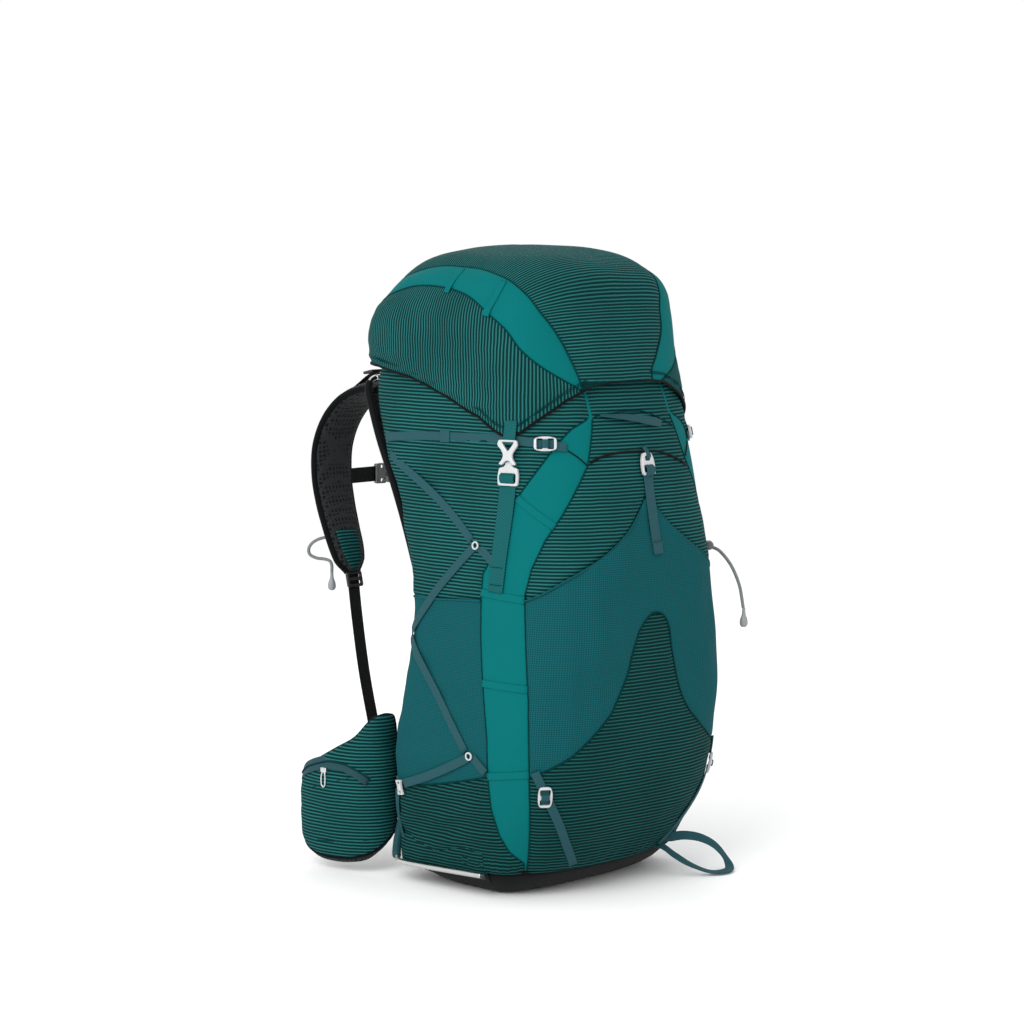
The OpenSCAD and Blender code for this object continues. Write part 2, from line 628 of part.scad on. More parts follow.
hip_zip_slider_right();
hip_buckle_left();
hip_buckle_right();
pole_cord();
pole_cord_pull();
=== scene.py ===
"""Looks for the hiking backpack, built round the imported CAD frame.

Sizes are in millimetres, and become metres in mesh(), plate() and free_cord(). Lights and camera are in metres.
"""
import math

import bmesh
import bpy
import numpy as np
from mathutils import Matrix, Vector


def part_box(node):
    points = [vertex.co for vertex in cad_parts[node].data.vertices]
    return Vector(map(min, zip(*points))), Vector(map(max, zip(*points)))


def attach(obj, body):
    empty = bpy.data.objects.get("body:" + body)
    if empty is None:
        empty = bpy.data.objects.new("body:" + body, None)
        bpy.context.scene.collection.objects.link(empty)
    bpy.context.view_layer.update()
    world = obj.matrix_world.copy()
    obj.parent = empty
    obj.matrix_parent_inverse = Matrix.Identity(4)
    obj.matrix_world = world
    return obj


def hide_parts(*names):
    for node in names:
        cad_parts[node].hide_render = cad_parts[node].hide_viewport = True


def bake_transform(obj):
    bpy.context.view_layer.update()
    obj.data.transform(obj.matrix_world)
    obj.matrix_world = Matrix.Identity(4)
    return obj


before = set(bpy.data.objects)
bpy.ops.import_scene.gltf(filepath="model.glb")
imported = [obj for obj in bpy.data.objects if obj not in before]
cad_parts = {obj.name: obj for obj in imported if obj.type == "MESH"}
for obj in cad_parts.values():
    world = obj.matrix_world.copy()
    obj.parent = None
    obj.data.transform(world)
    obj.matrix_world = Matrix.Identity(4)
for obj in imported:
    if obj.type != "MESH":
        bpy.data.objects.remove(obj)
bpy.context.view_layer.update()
MM = 0.001
UP = np.array([0.0, 0.0, 1.0])

# --- Camera ---
CAMERA_PLACE = (-2.497, -2.248, 0.765)
CAMERA_TURN = (84.06, 0.0, -46.96)
LENS = 105.47

camera = bpy.data.objects.new("camera", bpy.data.cameras.new("camera"))
bpy.context.scene.collection.objects.link(camera)
camera.location = CAMERA_PLACE
camera.rotation_euler = [math.radians(a) for a in CAMERA_TURN]
camera.data.lens = LENS
camera.data.sensor_width = 36.0
bpy.context.scene.camera = camera

# --- The bag's surface, as in the CAD ---
# Height, half width, front depth, back depth, front and back squareness, shift in Y
BAG = np.array([
    [0, 120, 32, 112, 2.6, 4, 0], [12, 134, 54, 124, 2.6, 5, 0], [31, 146, 74, 131, 2.6, 5.5, 0],
    [60, 156, 94, 135, 2.7, 6, 0], [100, 164, 112, 136, 3, 6, 0], [156, 169, 123, 132, 3.3, 6, 0],
    [236, 165, 129, 117, 3.5, 6, 0], [305, 157, 130, 110, 3.5, 6, 0], [369, 149, 127, 128, 3.4, 6, 0],
    [430, 143, 120, 151, 3.1, 6, 0], [476, 140, 113, 171, 2.9, 6, 0], [520, 138, 103, 190, 2.7, 6, 0],
    [560, 135, 88, 198, 2.6, 5.5, 0], [600, 128, 70, 184, 2.6, 5, 8]], float)
LID = np.array([
    [495, 143.5, 114, 184, 2.8, 6, 0], [520, 142.5, 108, 194.5, 2.7, 6, 0],
    [560, 141.5, 96, 205, 2.6, 5.5, 0], [605, 144, 112, 178, 3, 5, 30], [640, 143, 125, 152, 3.3, 4.3, 50],
    [664, 134, 130, 134, 3.2, 3.6, 53], [682, 122, 123, 123, 2.9, 2.9, 54], [698, 98, 97, 98, 2.6, 2.5, 55],
    [707, 62, 60, 62, 2.3, 2.2, 56], [711, 10, 10, 10, 2, 2, 56]], float)
FRONT_SEAM = np.array([[30, 50.4], [42, 50.4], [100, 52], [160, 53], [230, 55], [290, 58], [340, 60],
                       [370, 57.5], [400, 52], [430, 44], [480, 32], [530, 26]])
SIDE_SEAM = np.array([[30, 51.6], [42, 52], [56, 61], [76, 67], [105, 71.5], [140, 73], [182, 74],
                      [236, 78], [290, 82], [335, 84], [360, 84], [387, 77], [421, 71.5], [443, 66],
                      [465, 58.5], [502, 45.5], [518, 38], [530, 27.5]])
BACK_SEAM = 140
POCKET_TOP = np.array([[0, 440], [.06, 437], [.14, 425], [.27, 406], [.46, 385], [.58, 373], [.75, 357],
                       [.9, 341], [1, 335]])
LID_HEM = np.array([[0, 567], [14, 566], [24, 563], [38, 549], [51, 531], [62, 515], [68, 510], [74, 512],
                    [80, 518], [95, 535], [105, 551], [116, 568], [129, 579], [145, 582], [180, 583]])
BACK_HOLLOW = np.array([[30, 0], [90, 10], [170, 26], [305, 32], [410, 28], [500, 12], [560, 0]])
CROWN = 710.6
LID_MIDDLE, LID_TURN = 53, 600      # Y and height that the lid's stripes turn about
# Arch of the striped window in the front pocket, and the piped seams above it: X and height
ARCH = np.array([[-190, 120], [-144, 149], [-115, 166], [-86, 190], [-67, 208], [-55, 228], [-43, 250],
                 [-36, 272], [-26, 294], [-16, 305], [-3, 313], [11, 312], [20, 305], [26, 292], [30, 271],
                 [38, 244], [47, 223], [60, 204], [79, 187], [116, 162], [190, 125]])
PIPED_ARC = np.array([[-130, 452], [-91, 475], [-65, 487], [-35, 491], [6, 490], [31, 488], [73, 474],
                      [130, 445]])
TOP_SEAM = np.array([[-130, 521], [-70, 529], [-47, 533], [9, 534], [43, 524], [80, 508], [130, 480]])
# Edges of the lid's coloured bands: angle and height, inner edge then outer edge
BAND_LEFT = [[-29.5, 555], [-29.5, 573], [-33, 609], [-39, 638], [-51, 668], [-62.5, 683], [-83, 691],
             [-120, 688], [-150, 650], [-154, 560]], [[-146, 560], [-140, 640], [-120, 667], [-97, 670],
             [-75, 659], [-58, 631], [-52, 604], [-44, 583], [-30, 560]]
BAND_RIGHT = [[15, 555], [16.5, 577], [22, 593], [29, 620], [30, 654], [33, 674], [42, 688], [62, 693],
              [83, 692], [120, 688], [150, 650], [154, 560]], [[146, 560], [140, 640], [120, 667],
              [97, 670], [75, 659], [58, 631], [50, 604], [40, 583], [17, 560]]


def interp(x, table):
    return np.interp(x, table[:, 0], table[:, 1])


def row(tab, z):
    zs = tab[:, 0]
    z = np.clip(np.asarray(z, float), zs[0], zs[-1])
    i = np.clip(np.searchsorted(zs, z) - 1, 0, len(zs) - 2)
    k = np.arange(len(zs))
    lo, hi = np.maximum(k - 1, 0), np.minimum(k + 1, len(zs) - 1)
    slope = (tab[hi] - tab[lo]) / (zs[hi] - zs[lo])[:, None]
    h = zs[i + 1] - zs[i]
    s = ((z - zs[i]) / h)[..., None]
    h = h[..., None]
    return (tab[i] * (2 * s ** 3 - 3 * s ** 2 + 1) + slope[i] * h * (s ** 3 - 2 * s ** 2 + s)
            + tab[i + 1] * (3 * s ** 2 - 2 * s ** 3) + slope[i + 1] * h * (s ** 3 - s ** 2))


def surf(tab, th, z, d=0.0):
    th, z = np.broadcast_arrays(np.asarray(th, float), np.asarray(z, float))
    k = row(tab, z)
    sin, cos = np.sin(np.radians(th)), np.cos(np.radians(th))
    ahead = cos > 0
    q = np.where(ahead, k[..., 2], k[..., 3]) + d
    n = np.where(ahead, k[..., 4], k[..., 5])
    r = (np.abs(sin) ** n + np.abs(cos) ** n) ** (-1 / n)
    return np.stack([(k[..., 1] + d) * r * sin, k[..., 6] - q * r * cos, z], -1)


def unit(v):
    return v / np.maximum(np.linalg.norm(v, axis=-1, keepdims=True), 1e-9)


def normal(tab, th, z):
    return unit(np.cross(surf(tab, th + 1.0, z) - surf(tab, th - 1.0, z),
                         surf(tab, th, z + 1.0) - surf(tab, th, z - 1.0)))


def back_y(z):
    k = row(BAG, z)
    return k[..., 3] + k[..., 6]


def smooth(points, m=6):
    """Smooth line through points, m steps a stretch."""
    p = np.asarray(points, float)
    out = []
    for i in range(len(p) - 1):
        s = np.linspace(0, 1, m, endpoint=False)[:, None]
        ta = (p[i + 1] - p[max(i - 1, 0)]) / 2
        tb = (p[min(i + 2, len(p) - 1)] - p[i]) / 2
        out.append(p[i] * (2 * s ** 3 - 3 * s ** 2 + 1) + ta * (s ** 3 - 2 * s ** 2 + s)
                   + p[i + 1] * (3 * s ** 2 - 2 * s ** 3) + tb * (s ** 3 - s ** 2))
    return np.vstack(out + [p[-1:]])


def ease(a, b, x):
    s = np.clip((x - a) / (b - a), 0, 1)
    return s * s * (3 - 2 * s)


def folds(p, scale, seed, waves=9):
    """Soft seeded unevenness between about -1 and 1 at points p; scale is its wavelength."""
    rng = np.random.default_rng(seed)
    total = np.zeros(p.shape[:-1])
    for _ in range(waves):
        k = unit(rng.normal(size=3)) * 2 * math.pi / (scale * rng.uniform(0.7, 1.5))
        total += np.sin(p @ k + rng.uniform(0, 6.28))
    return total / waves ** 0.5 / 1.4


# --- Materials ---
LIT = 0.62      # share of a colour, as seen in the studio's light, that goes on the surface


def linear(c, lit=LIT):
    c = [x / 255 for x in c]
    return [lit * (x / 12.92 if x <= 0.04045 else ((x + 0.055) / 1.055) ** 2.4) for x in c] + [1.0]


class Look:
    """A Principled material with short ways to add nodes."""

    def __init__(self, name, colour, rough=0.8, metal=0.0, sheen=0.0, coat=0.0, specular=0.5):
        self.name = name
        self.material = bpy.data.materials.new(name + "_look")
        self.material.use_nodes = True
        self.tree = self.material.node_tree
        self.shader = self.tree.nodes["Principled BSDF"]
        self.colour = linear(colour)
        self.put(self.shader, {"Base Color": self.colour, "Roughness": rough, "Metallic": metal,
                               "Sheen Weight": sheen, "Coat Weight": coat, "Specular IOR Level": specular})

    def put(self, node, values):
        for key, value in values.items():
            socket = node.inputs[key]
            if isinstance(value, bpy.types.NodeSocket):
                self.tree.links.new(value, socket)
            else:
                socket.default_value = value

    def node(self, kind, values, **settings):
        n = self.tree.nodes.new("ShaderNode" + kind)
        for key, value in settings.items():
            setattr(n, key, value)
        self.put(n, values)
        return n

    def math(self, operation, a, b=0.0):
        return self.node("Math", {0: a, 1: b}, operation=operation).outputs[0]

    def attribute(self, name):
        return self.node("Attribute", {}, attribute_name=name).outputs["Fac"]

    def place(self):
        return self.node("TexCoord", {}).outputs["Object"]

    def noise(self, scale, detail=2.0):
        return self.node("TexNoise", {"Vector": self.place(), "Scale": scale, "Detail": detail}).outputs["Fac"]

    def between(self, value, low, high, to_low=0.0, to_high=1.0):
        n = self.node("MapRange", {"Value": value, "From Min": low, "From Max": high, "To Min": to_low,
                                   "To Max": to_high}, interpolation_type="SMOOTHSTEP")
        return n.outputs["Result"]

    def mix(self, share, a, b):
        n = self.tree.nodes.new("ShaderNodeMix")
        n.data_type = "RGBA"
        self.put(n, {0: share, 6: a, 7: b})
        return n.outputs[2]

    def paint(self, colour):
        self.put(self.shader, {"Base Color": colour})
        return self

    def bump(self, height, distance, strength=1.0):
        n = self.node("Bump", {"Height": height, "Distance": distance * MM, "Strength": strength})
        self.put(self.shader, {"Normal": n.outputs["Normal"]})
        return self

    def rough(self, value):
        self.put(self.shader, {"Roughness": value})
        return self


def shade(colour, by):
    return [min(1.0, x * by) for x in colour[:3]] + [1.0]


STRIPE_PITCH = 3.8


def striped(name, dark, light, share=0.42):
    """Ribbed two-tone cloth: lines across the stripe attribute, broken into fine slanting stitches."""
    k = Look(name, dark, rough=0.78, specular=0.06)
    wander = k.math("MULTIPLY", k.noise(55.0), 0.9)
    line = k.math("PINGPONG", k.math("ADD", k.attribute("stripe"), wander), STRIPE_PITCH / 2)
    half = STRIPE_PITCH / 2
    mask = k.between(line, half * (1 - share) - 0.22, half * (1 - share) + 0.22)
    slant = k.math("ADD", k.attribute("cross"), k.math("MULTIPLY", k.attribute("stripe"), 0.6))
    stitch = k.between(k.math("PINGPONG", slant, 0.5), 0.08, 0.34)
    lit = k.math("MULTIPLY", mask, k.math("ADD", k.math("MULTIPLY", stitch, 0.35), 0.65))
    tone = k.mix(lit, linear(dark), linear(light))
    k.paint(k.mix(k.between(k.noise(14.0, 4.0), 0.35, 0.7, 0.0, 0.22), tone, shade(linear(dark), 0.9)))
    return k.bump(lit, 0.35, 0.7)


def plain_cloth(name, colour, cell=0.8, sheen=0.0, contrast=0.12, rough=0.75):
    """Plain weave: fine threads both ways, with cloudy variation."""
    k = Look(name, colour, rough=rough, sheen=sheen, specular=0.06)
    warp = k.between(k.math("PINGPONG", k.attribute("stripe"), cell / 2), 0.1 * cell, 0.4 * cell)
    weft = k.between(k.math("PINGPONG", k.attribute("cross"), cell / 2), 0.1 * cell, 0.4 * cell)
    weave = k.math("MULTIPLY", warp, weft)
    base = linear(colour)
    tone = k.mix(weave, shade(base, 1 - contrast), shade(base, 1 + contrast))
    k.paint(k.mix(k.between(k.noise(22.0, 4.0), 0.35, 0.7, 0.0, 0.3), tone, shade(base, 0.88)))
    return k.bump(weave, 0.15, 0.5)


def webbing_look(name, colour, pitch=1.9, contrast=0.22):
    """Woven tape: slanting ribs across it and a plain selvedge at each edge."""
    k = Look(name, colour, rough=0.62, specular=0.14)
    slant = k.math("ADD", k.attribute("cross"), k.attribute("stripe"))
    rib = k.between(k.math("PINGPONG", slant, pitch / 2), 0.15 * pitch, 0.35 * pitch)
    base = linear(colour)
    k.paint(k.mix(rib, shade(base, 1 - contrast), shade(base, 1 + contrast)))
    return k.bump(rib, 0.25, 0.6)


def plastic(name, colour, rough, coat=0.0):
    k = Look(name, colour, rough=rough, coat=coat)
    base = linear(colour)
    k.paint(k.mix(k.between(k.noise(260.0, 3.0), 0.3, 0.7, 0.0, 0.25), base, shade(base, 0.86)))
    k.rough(k.between(k.noise(90.0, 3.0), 0.3, 0.7, rough * 0.85, rough * 1.2))
    return k.bump(k.noise(900.0), 0.03, 0.35)


def honeycomb(name, colour, cell):
    k = Look(name, colour, rough=0.85, sheen=0.05, specular=0.2)
    n = k.node("TexVoronoi", {"Vector": k.place(), "Scale": 1 / (cell * MM), "Randomness": 0.25},
               feature="DISTANCE_TO_EDGE")
    web = k.between(n.outputs["Distance"], 0.06, 0.28)
    base = linear(colour)
    k.paint(k.mix(web, shade(base, 3.2), shade(base, 0.35)))
    return k.bump(k.math("SUBTRACT", 1.0, web), 0.7, 1.0)


LOOKS = {k.name: k.material for k in [
    striped("striped_fabric", (0, 50, 49), (52, 134, 134)),
    # a darker copy of striped_fabric, the same cloth: painted shade for the low front window, the feet of the side
    # panels and the side gussets
    striped("striped_painted_shade", (0, 42, 41), (38, 112, 110), 0.4),
    plain_cloth("teal_fabric", (0, 126, 127)),
    plain_cloth("stretch_mesh", (22, 102, 108), 2.4, 0.0, 0.3, 0.85),
    plain_cloth("lining_fabric", (20, 84, 84), 1.2),
    plain_cloth("black_fabric", (24, 26, 28), 1.3, 0.05, 0.3),
    honeycomb("air_mesh", (24, 27, 28), 5.2),
    webbing_look("slate_webbing", (40, 92, 100)),
    webbing_look("teal_webbing", (4, 100, 102), 3.4, 0.3),
    webbing_look("black_webbing", (20, 22, 24)),
    webbing_look("slate_zip", (44, 86, 94), 1.2),
    plastic("white_buckle", (232, 234, 236), 0.3, 0.35),
    plastic("dark_buckle", (38, 40, 42), 0.45),
    plastic("grey_plastic", (168, 172, 174), 0.42, 0.1),
    plastic("mid_plastic", (112, 114, 116), 0.42, 0.1),
    webbing_look("grey_cord", (150, 154, 156), 1.4, 0.3),
    webbing_look("dark_cord", (34, 36, 38), 1.4, 0.3),
    plain_cloth("black_piping", (12, 16, 18), 0.9, 0.05, 0.3),
    plain_cloth("dark_thread", (0, 66, 66), 0.9),
]}
alloy = Look("frame_alloy", (250, 250, 250), rough=0.3, metal=1.0)
LOOKS["frame_alloy"] = alloy.rough(alloy.between(alloy.noise(60.0, 3.0), 0.3, 0.7, 0.24, 0.4)).material


# --- Mesh making ---
WELD = 0.02     # points closer than this become one


def mesh(name, V, F, look, body, columns=None, thick=0.0, slot=None, cad=None, closed=False):
    """A piece riding on a body, from points V in millimetres and faces F.

    columns holds the stripe and cross attributes, which are otherwise the height and X. cad is the CAD node that
    the piece replaces, which is hidden. slot is not used.
    """
    V = np.reshape(V, (-1, 3))
    if columns is None:
        columns = {"stripe": V[:, 2], "cross": V[:, 0]}
    data = bpy.data.meshes.new(name)
    data.from_pydata((V * MM).tolist(), [], [list(map(int, f)) for f in F])
    for key, values in columns.items():
        attribute = data.attributes.new(key, "FLOAT", "POINT")
        attribute.data.foreach_set("value", np.ravel(values).astype(np.float32))
    b = bmesh.new()
    b.from_mesh(data)
    bmesh.ops.remove_doubles(b, verts=b.verts, dist=WELD * MM)
    if closed:
        bmesh.ops.recalc_face_normals(b, faces=b.faces)
    b.to_mesh(data)
    b.free()
    data.materials.append(LOOKS[look])
    for p in data.polygons:
        p.use_smooth = True
    o = bpy.data.objects.new(name, data)
    bpy.context.scene.collection.objects.link(o)
    if thick:
        m = o.modifiers.new("thickness", "SOLIDIFY")
        m.thickness, m.offset = thick * MM, -1.0
    if body is not None:
        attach(o, body)
    if slot or cad:
        slot or look
    if cad:
        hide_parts(cad)
    return o


def grid_faces(nu, nv, wrap=False):
    """Quads of nv rows by nu columns."""
    i, j = np.meshgrid(np.arange(nv - 1), np.arange(nu if wrap else nu - 1), indexing="ij")
    k = (j + 1) % nu
    return np.stack([i * nu + j, i * nu + k, (i + 1) * nu + k, (i + 1) * nu + j], -1).reshape(-1, 4)


class Panel:
    """Part of a surface that keeps columns of numbers at its points, and can be cut cleanly."""

    def __init__(self, columns, quads, polygons=()):
        self.c, self.quads, self.polygons = columns, quads, list(polygons)

    def cut(self, key, sign=1):
        """The part where column key times sign is below 0."""
        f = self.c[key] * sign
        inside = f[self.quads] < 0
        full, mixed = inside.all(1), inside.any(1) & ~inside.all(1)
        names = list(self.c)
        table = np.stack([self.c[n] for n in names], 1)
        added, seen, polygons = [], {}, []

        def crossing(a, b):
            pair = (min(a, b), max(a, b))
            if pair not in seen:
                s = f[pair[0]] / (f[pair[0]] - f[pair[1]])
                seen[pair] = len(table) + len(added)
                added.append(table[pair[0]] + (table[pair[1]] - table[pair[0]]) * s)
            return seen[pair]

        for poly in [list(q) for q in self.quads[mixed]] + self.polygons:
            out = []
            for i, a in enumerate(poly):
                b = poly[(i + 1) % len(poly)]
                if f[a] < 0:
                    out.append(a)
                if (f[a] < 0) != (f[b] < 0):
                    out.append(crossing(a, b))
            if len(out) > 2:
                polygons.append(out)
        whole = np.vstack([table] + ([np.array(added)] if added else []))
        return Panel({n: whole[:, i] for i, n in enumerate(names)}, self.quads[full], polygons)

    def sew(self, name, look, edges, puff, body, swell=9.0, lift=0.0, shape=None, **more):
        """Makes the piece, standing proud of its seams, which are the columns named in edges."""
        used = np.unique(np.concatenate([self.quads.ravel(), *[np.array(p) for p in self.polygons]]).astype(int))
        index = np.full(len(self.c["x"]), -1)
        index[used] = np.arange(len(used))
        c = {n: v[used] for n, v in self.c.items()}
        V = np.stack([c["x"], c["y"], c["z"]], 1)
        N = np.stack([c["nx"], c["ny"], c["nz"]], 1)
        away = np.min([np.abs(c[e]) for e in edges], 0) if edges else np.full(len(V), 99.0)
        d = lift + puff * (1 - np.exp(-away / swell))
        if shape is not None:
            d = d + shape(c, V, away)
        V = V + N * d[:, None]
        faces = [index[q] for q in self.quads] + [index[np.array(p)] for p in self.polygons]
        return mesh(name, V, faces, look, body, {"stripe": c["stripe"], "cross": c["cross"]}, 1.2, **more)


def cap_faces(n, rings):
    return [list(range(n))[::-1], [rings * n + i for i in range(n)]]


def loft(rings):
    """Vertices and faces of a closed solid through rings of the same count."""
    rings = np.asarray(rings, float)
    n = rings.shape[1]
    return rings.reshape(-1, 3), [list(f) for f in grid_faces(n, len(rings), True)] + cap_faces(n, len(rings) - 1)


def lengths(P):
    return np.concatenate([[0], np.cumsum(np.linalg.norm(np.diff(P, axis=0), axis=1))])


def along(P):
    return unit(np.gradient(P, axis=0))


def ribbon(name, P, N, w, t, look, body, **more):
    """Flat woven tape along P, its face along N, with soft edges."""
    P, N = np.asarray(P, float), np.broadcast_to(np.asarray(N, float), np.shape(P))
    w = np.broadcast_to(w, len(P))[:, None]
    d = along(P)
    s = unit(np.cross(N, d))
    n = unit(np.cross(d, s))
    r = t / 2
    section = [(1, 0, 0), (1, -.3, .8), (1, -1, 1), (.5, 0, 1), (0, 0, 1), (-.5, 0, 1), (-1, 1, 1),
               (-1, .3, .8), (-1, 0, 0), (-1, .3, -.8), (-1, 1, -1), (-.5, 0, -1), (0, 0, -1), (.5, 0, -1),
               (1, -1, -1), (1, -.3, -.8)]
    rings = np.stack([P + s * (a * w / 2 + b * r) + n * (c * r) for a, b, c in section], 1)
    V, F = loft(rings)
    across = np.stack([a * w[:, 0] / 2 for a, b, c in section], 1)
    run = np.repeat(lengths(P)[:, None], len(section), 1)
    return mesh(name, V, F, look, body, {"stripe": run, "cross": across}, closed=True, **more)


def tube(name, P, r, look, body, sides=10, **more):
    P = np.asarray(P, float)
    d = along(P)
    u = unit(np.cross(d[0], [0, 0, 1.0] if abs(d[0][2]) < 0.9 else [1.0, 0, 0]))
    rings = []
    for p, t, q in zip(P, d, np.broadcast_to(r, len(P))):
        u = unit(u - t * (u @ t))
        v = np.cross(t, u)
        a = np.arange(sides) * 2 * math.pi / sides
        rings.append(p + q * (np.cos(a)[:, None] * u + np.sin(a)[:, None] * v))
    V, F = loft(rings)
    run = np.repeat(lengths(P)[:, None], sides, 1).ravel()
    turn = np.tile(np.arange(sides) * 2 * r / sides if np.isscalar(r) else np.arange(sides) * 1.0, len(P))
    return mesh(name, V, F, look, body, {"stripe": run, "cross": turn}, closed=True, **more)


def seat(tab, th, z, d, side=1):
    """Matrix in millimetres that lays a flat part on the surface; side -1 is the wearer's left."""
    p, n = surf(tab, float(th), float(z)), normal(tab, float(th), float(z))
    x = unit(np.cross(UP, n))
    y = np.cross(n, x)
    q = p + n * d
    m = np.stack([x, y, n], 1)
    if side < 0:
        m = np.array([[-1.0], [1.0], [1.0]]) * m * np.array([-1.0, 1.0, 1.0])
        q = q * [-1, 1, 1]
    return m, q


def rounded(points, r, steps=5):
    """Outline with its corners rounded; r is one radius or one for each corner."""
    p = np.asarray(points, float)
    out = []
    for i, c in enumerate(p):
        a, b = p[i - 1] - c, p[(i + 1) % len(p)] - c
        reach = min(np.broadcast_to(r, len(p))[i], 0.48 * np.linalg.norm(a), 0.48 * np.linalg.norm(b))
        s, e = c + a / np.linalg.norm(a) * reach, c + b / np.linalg.norm(b) * reach
        for k in np.linspace(0, 1, steps):
            out.append((1 - k) ** 2 * s + 2 * k * (1 - k) * c + k ** 2 * e)
    return np.array(out)


def slab(w, h, x=0.0, y=0.0):
    return [[x - w / 2, y - h / 2], [x + w / 2, y - h / 2], [x + w / 2, y + h / 2], [x - w / 2, y + h / 2]]


def plate(name, outlines, t, where, look, body, edge=0.5, lift=None, **more):
    """Moulded plate: the first outline with the others as holes, round-edged. lift bends it: f(x, y)."""
    curve = bpy.data.curves.new(name, "CURVE")
    curve.dimensions, curve.fill_mode = "2D", "BOTH"
    curve.extrude, curve.bevel_depth, curve.bevel_resolution = (t / 2 - edge) * MM, edge * MM, 2
    curve.offset = -edge * MM
    for line in outlines[:1] + [hole[::-1] for hole in outlines[1:]]:
        s = curve.splines.new("POLY")
        s.points.add(len(line) - 1)
        s.points.foreach_set("co", [v for p in line for v in (p[0] * MM, p[1] * MM, 0.0, 1.0)])
        s.use_cyclic_u = True
    temp = bpy.data.objects.new(name + "_temp", curve)
    bpy.context.scene.collection.objects.link(temp)
    dg = bpy.context.evaluated_depsgraph_get()
    made = bpy.data.meshes.new_from_object(temp.evaluated_get(dg))
    V = np.array([v.co for v in made.vertices]) / MM
    F = [list(p.vertices) for p in made.polygons]
    bpy.data.objects.remove(temp)
    bpy.data.meshes.remove(made)
    V[:, 2] += t / 2
    if lift is not None:
        V[:, 2] += lift(V[:, 0], V[:, 1])
    m, q = where
    columns = {"stripe": V[:, 0], "cross": V[:, 1]}
    return mesh(name, V @ m.T + q, F, look, body, columns, closed=True, **more)


def mirrored(P, side):
    return np.asarray(P, float) * [side, 1, 1]


SIDES = (("left", -1), ("right", 1))

# --- Sewn bag ---
BASE_SEAM = 30      # where the walls meet the base
TOP_TUCK = 588      # where the walls are tucked under the lid


def surface_columns(tab, th, z):
    P, N = surf(tab, th, z), normal(tab, th, z)
    c = {"x": P[..., 0], "y": P[..., 1], "z": P[..., 2], "nx": N[..., 0], "ny": N[..., 1], "nz": N[..., 2]}
    return c, P, N


def flat_columns(c):
    return {k: np.asarray(v, float).ravel() for k, v in c.items()}


def line_distance(P, table):
    """Signed height of P over a line of X and height, as a distance across it."""
    x, z = P[..., 0], P[..., 2]
    slope = (interp(x + 3, table) - interp(x - 3, table)) / 6
    return (z - interp(x, table)) / np.hypot(1, slope)


def bag_panel():
    th, z = np.meshgrid(np.linspace(-BACK_SEAM - 1, BACK_SEAM + 1, 424), np.linspace(BASE_SEAM, TOP_TUCK, 236))
    c, P, N = surface_columns(BAG, th, z)
    arc = np.linalg.norm(surf(BAG, th + 0.5, z) - surf(BAG, th - 0.5, z), axis=-1)
    a = np.abs(th)
    share = np.minimum(a / interp(z, FRONT_SEAM), 1)
    side_share = np.clip((a - interp(z, SIDE_SEAM)) / (BACK_SEAM - interp(z, SIDE_SEAM)), 0, 1)
    c["front"], c["side"] = (a - interp(z, FRONT_SEAM)) * arc, (a - interp(z, SIDE_SEAM)) * arc
    c["rear"], c["mid"] = (a - BACK_SEAM) * arc, th * arc
    c["pocket"] = (z - interp(share, POCKET_TOP)) * 0.8
    c["arch"], c["arc"], c["top"] = (line_distance(P, t) for t in (ARCH, PIPED_ARC, TOP_SEAM))
    c["low"], c["high"] = z - (141 - 35 * side_share), z - (331 - 7 * side_share)
    c["stripe"] = z + 0.02 * P[..., 0]
    c["cross"] = th * 2.6
    c["under"] = c["pocket"] + 24
    c["behind"] = c["high"] + 18
    return Panel(flat_columns(c), grid_faces(th.shape[1], th.shape[0]))


def creases(scale, size, seed, stretch=(1, 1, 2.2)):
    """Shape function: soft folds, dying out at the seams."""
    return lambda c, V, away: folds(V * np.array(stretch), scale, seed) * size * (1 - np.exp(-away / 10))


def gathers(c, V, away, pitch, size, reach, seed):
    """Small upright pleats beside a gathered seam, away millimetres off."""
    wave = np.sin(2 * math.pi * c["cross"] / pitch + 2.4 * folds(V, 70, seed))
    return size * wave * np.exp(-away / reach) * (1 - np.exp(-away / 2.5))


def hem_pull(c, V, away):
    """Tension lines running down from the pocket's hem."""
    return (creases(60, 1.1, 5, (1.6, 1, 0.6))(c, V, away) + creases(150, 1.8, 7)(c, V, away)
            + gathers(c, V, V[:, 2] - BASE_SEAM, 15, 0.4, 30, 9))


bag = bag_panel()
front = bag.cut("front")
upper = front.cut("arc", -1)
upper.cut("top", -1).sew("front_top_panel", "striped_fabric", ["front", "top"], 2.0, "bag",
                         shape=creases(90, 0.8, 3), slot="striped_fabric")
upper.cut("top").sew("front_yoke_panel", "striped_fabric", ["front", "top", "arc"], 2.6, "bag",
                     shape=creases(80, 0.8, 4), slot="striped_fabric")
front.cut("arc").cut("under", -1).sew(
    "front_panel_fabric", "striped_fabric", ["front", "arc"], 2.6, "bag",
    shape=lambda c, V, away: creases(85, 0.9, 6)(c, V, away) - 3.6 * ease(9, -3, c["pocket"]),
    cad="front_panel")
pocket = front.cut("pocket")
pocket.cut("arch", -1).sew("front_pocket_mesh", "stretch_mesh", ["front", "arch"], 2.0, "bag",
                           shape=hem_pull, cad="front_pocket")
# the window is the same striped cloth, painted darker as shade
pocket.cut("arch").sew("front_pocket_window", "striped_painted_shade", ["front", "arch"], 2.4, "bag",
                       shape=lambda c, V, away: creases(70, 1.3, 8)(c, V, away)
                       + gathers(c, V, V[:, 2] - BASE_SEAM, 16, 0.4, 26, 10), slot="striped_fabric")
strips = bag.cut("front", -1).cut("side")
sides = bag.cut("side", -1).cut("rear")


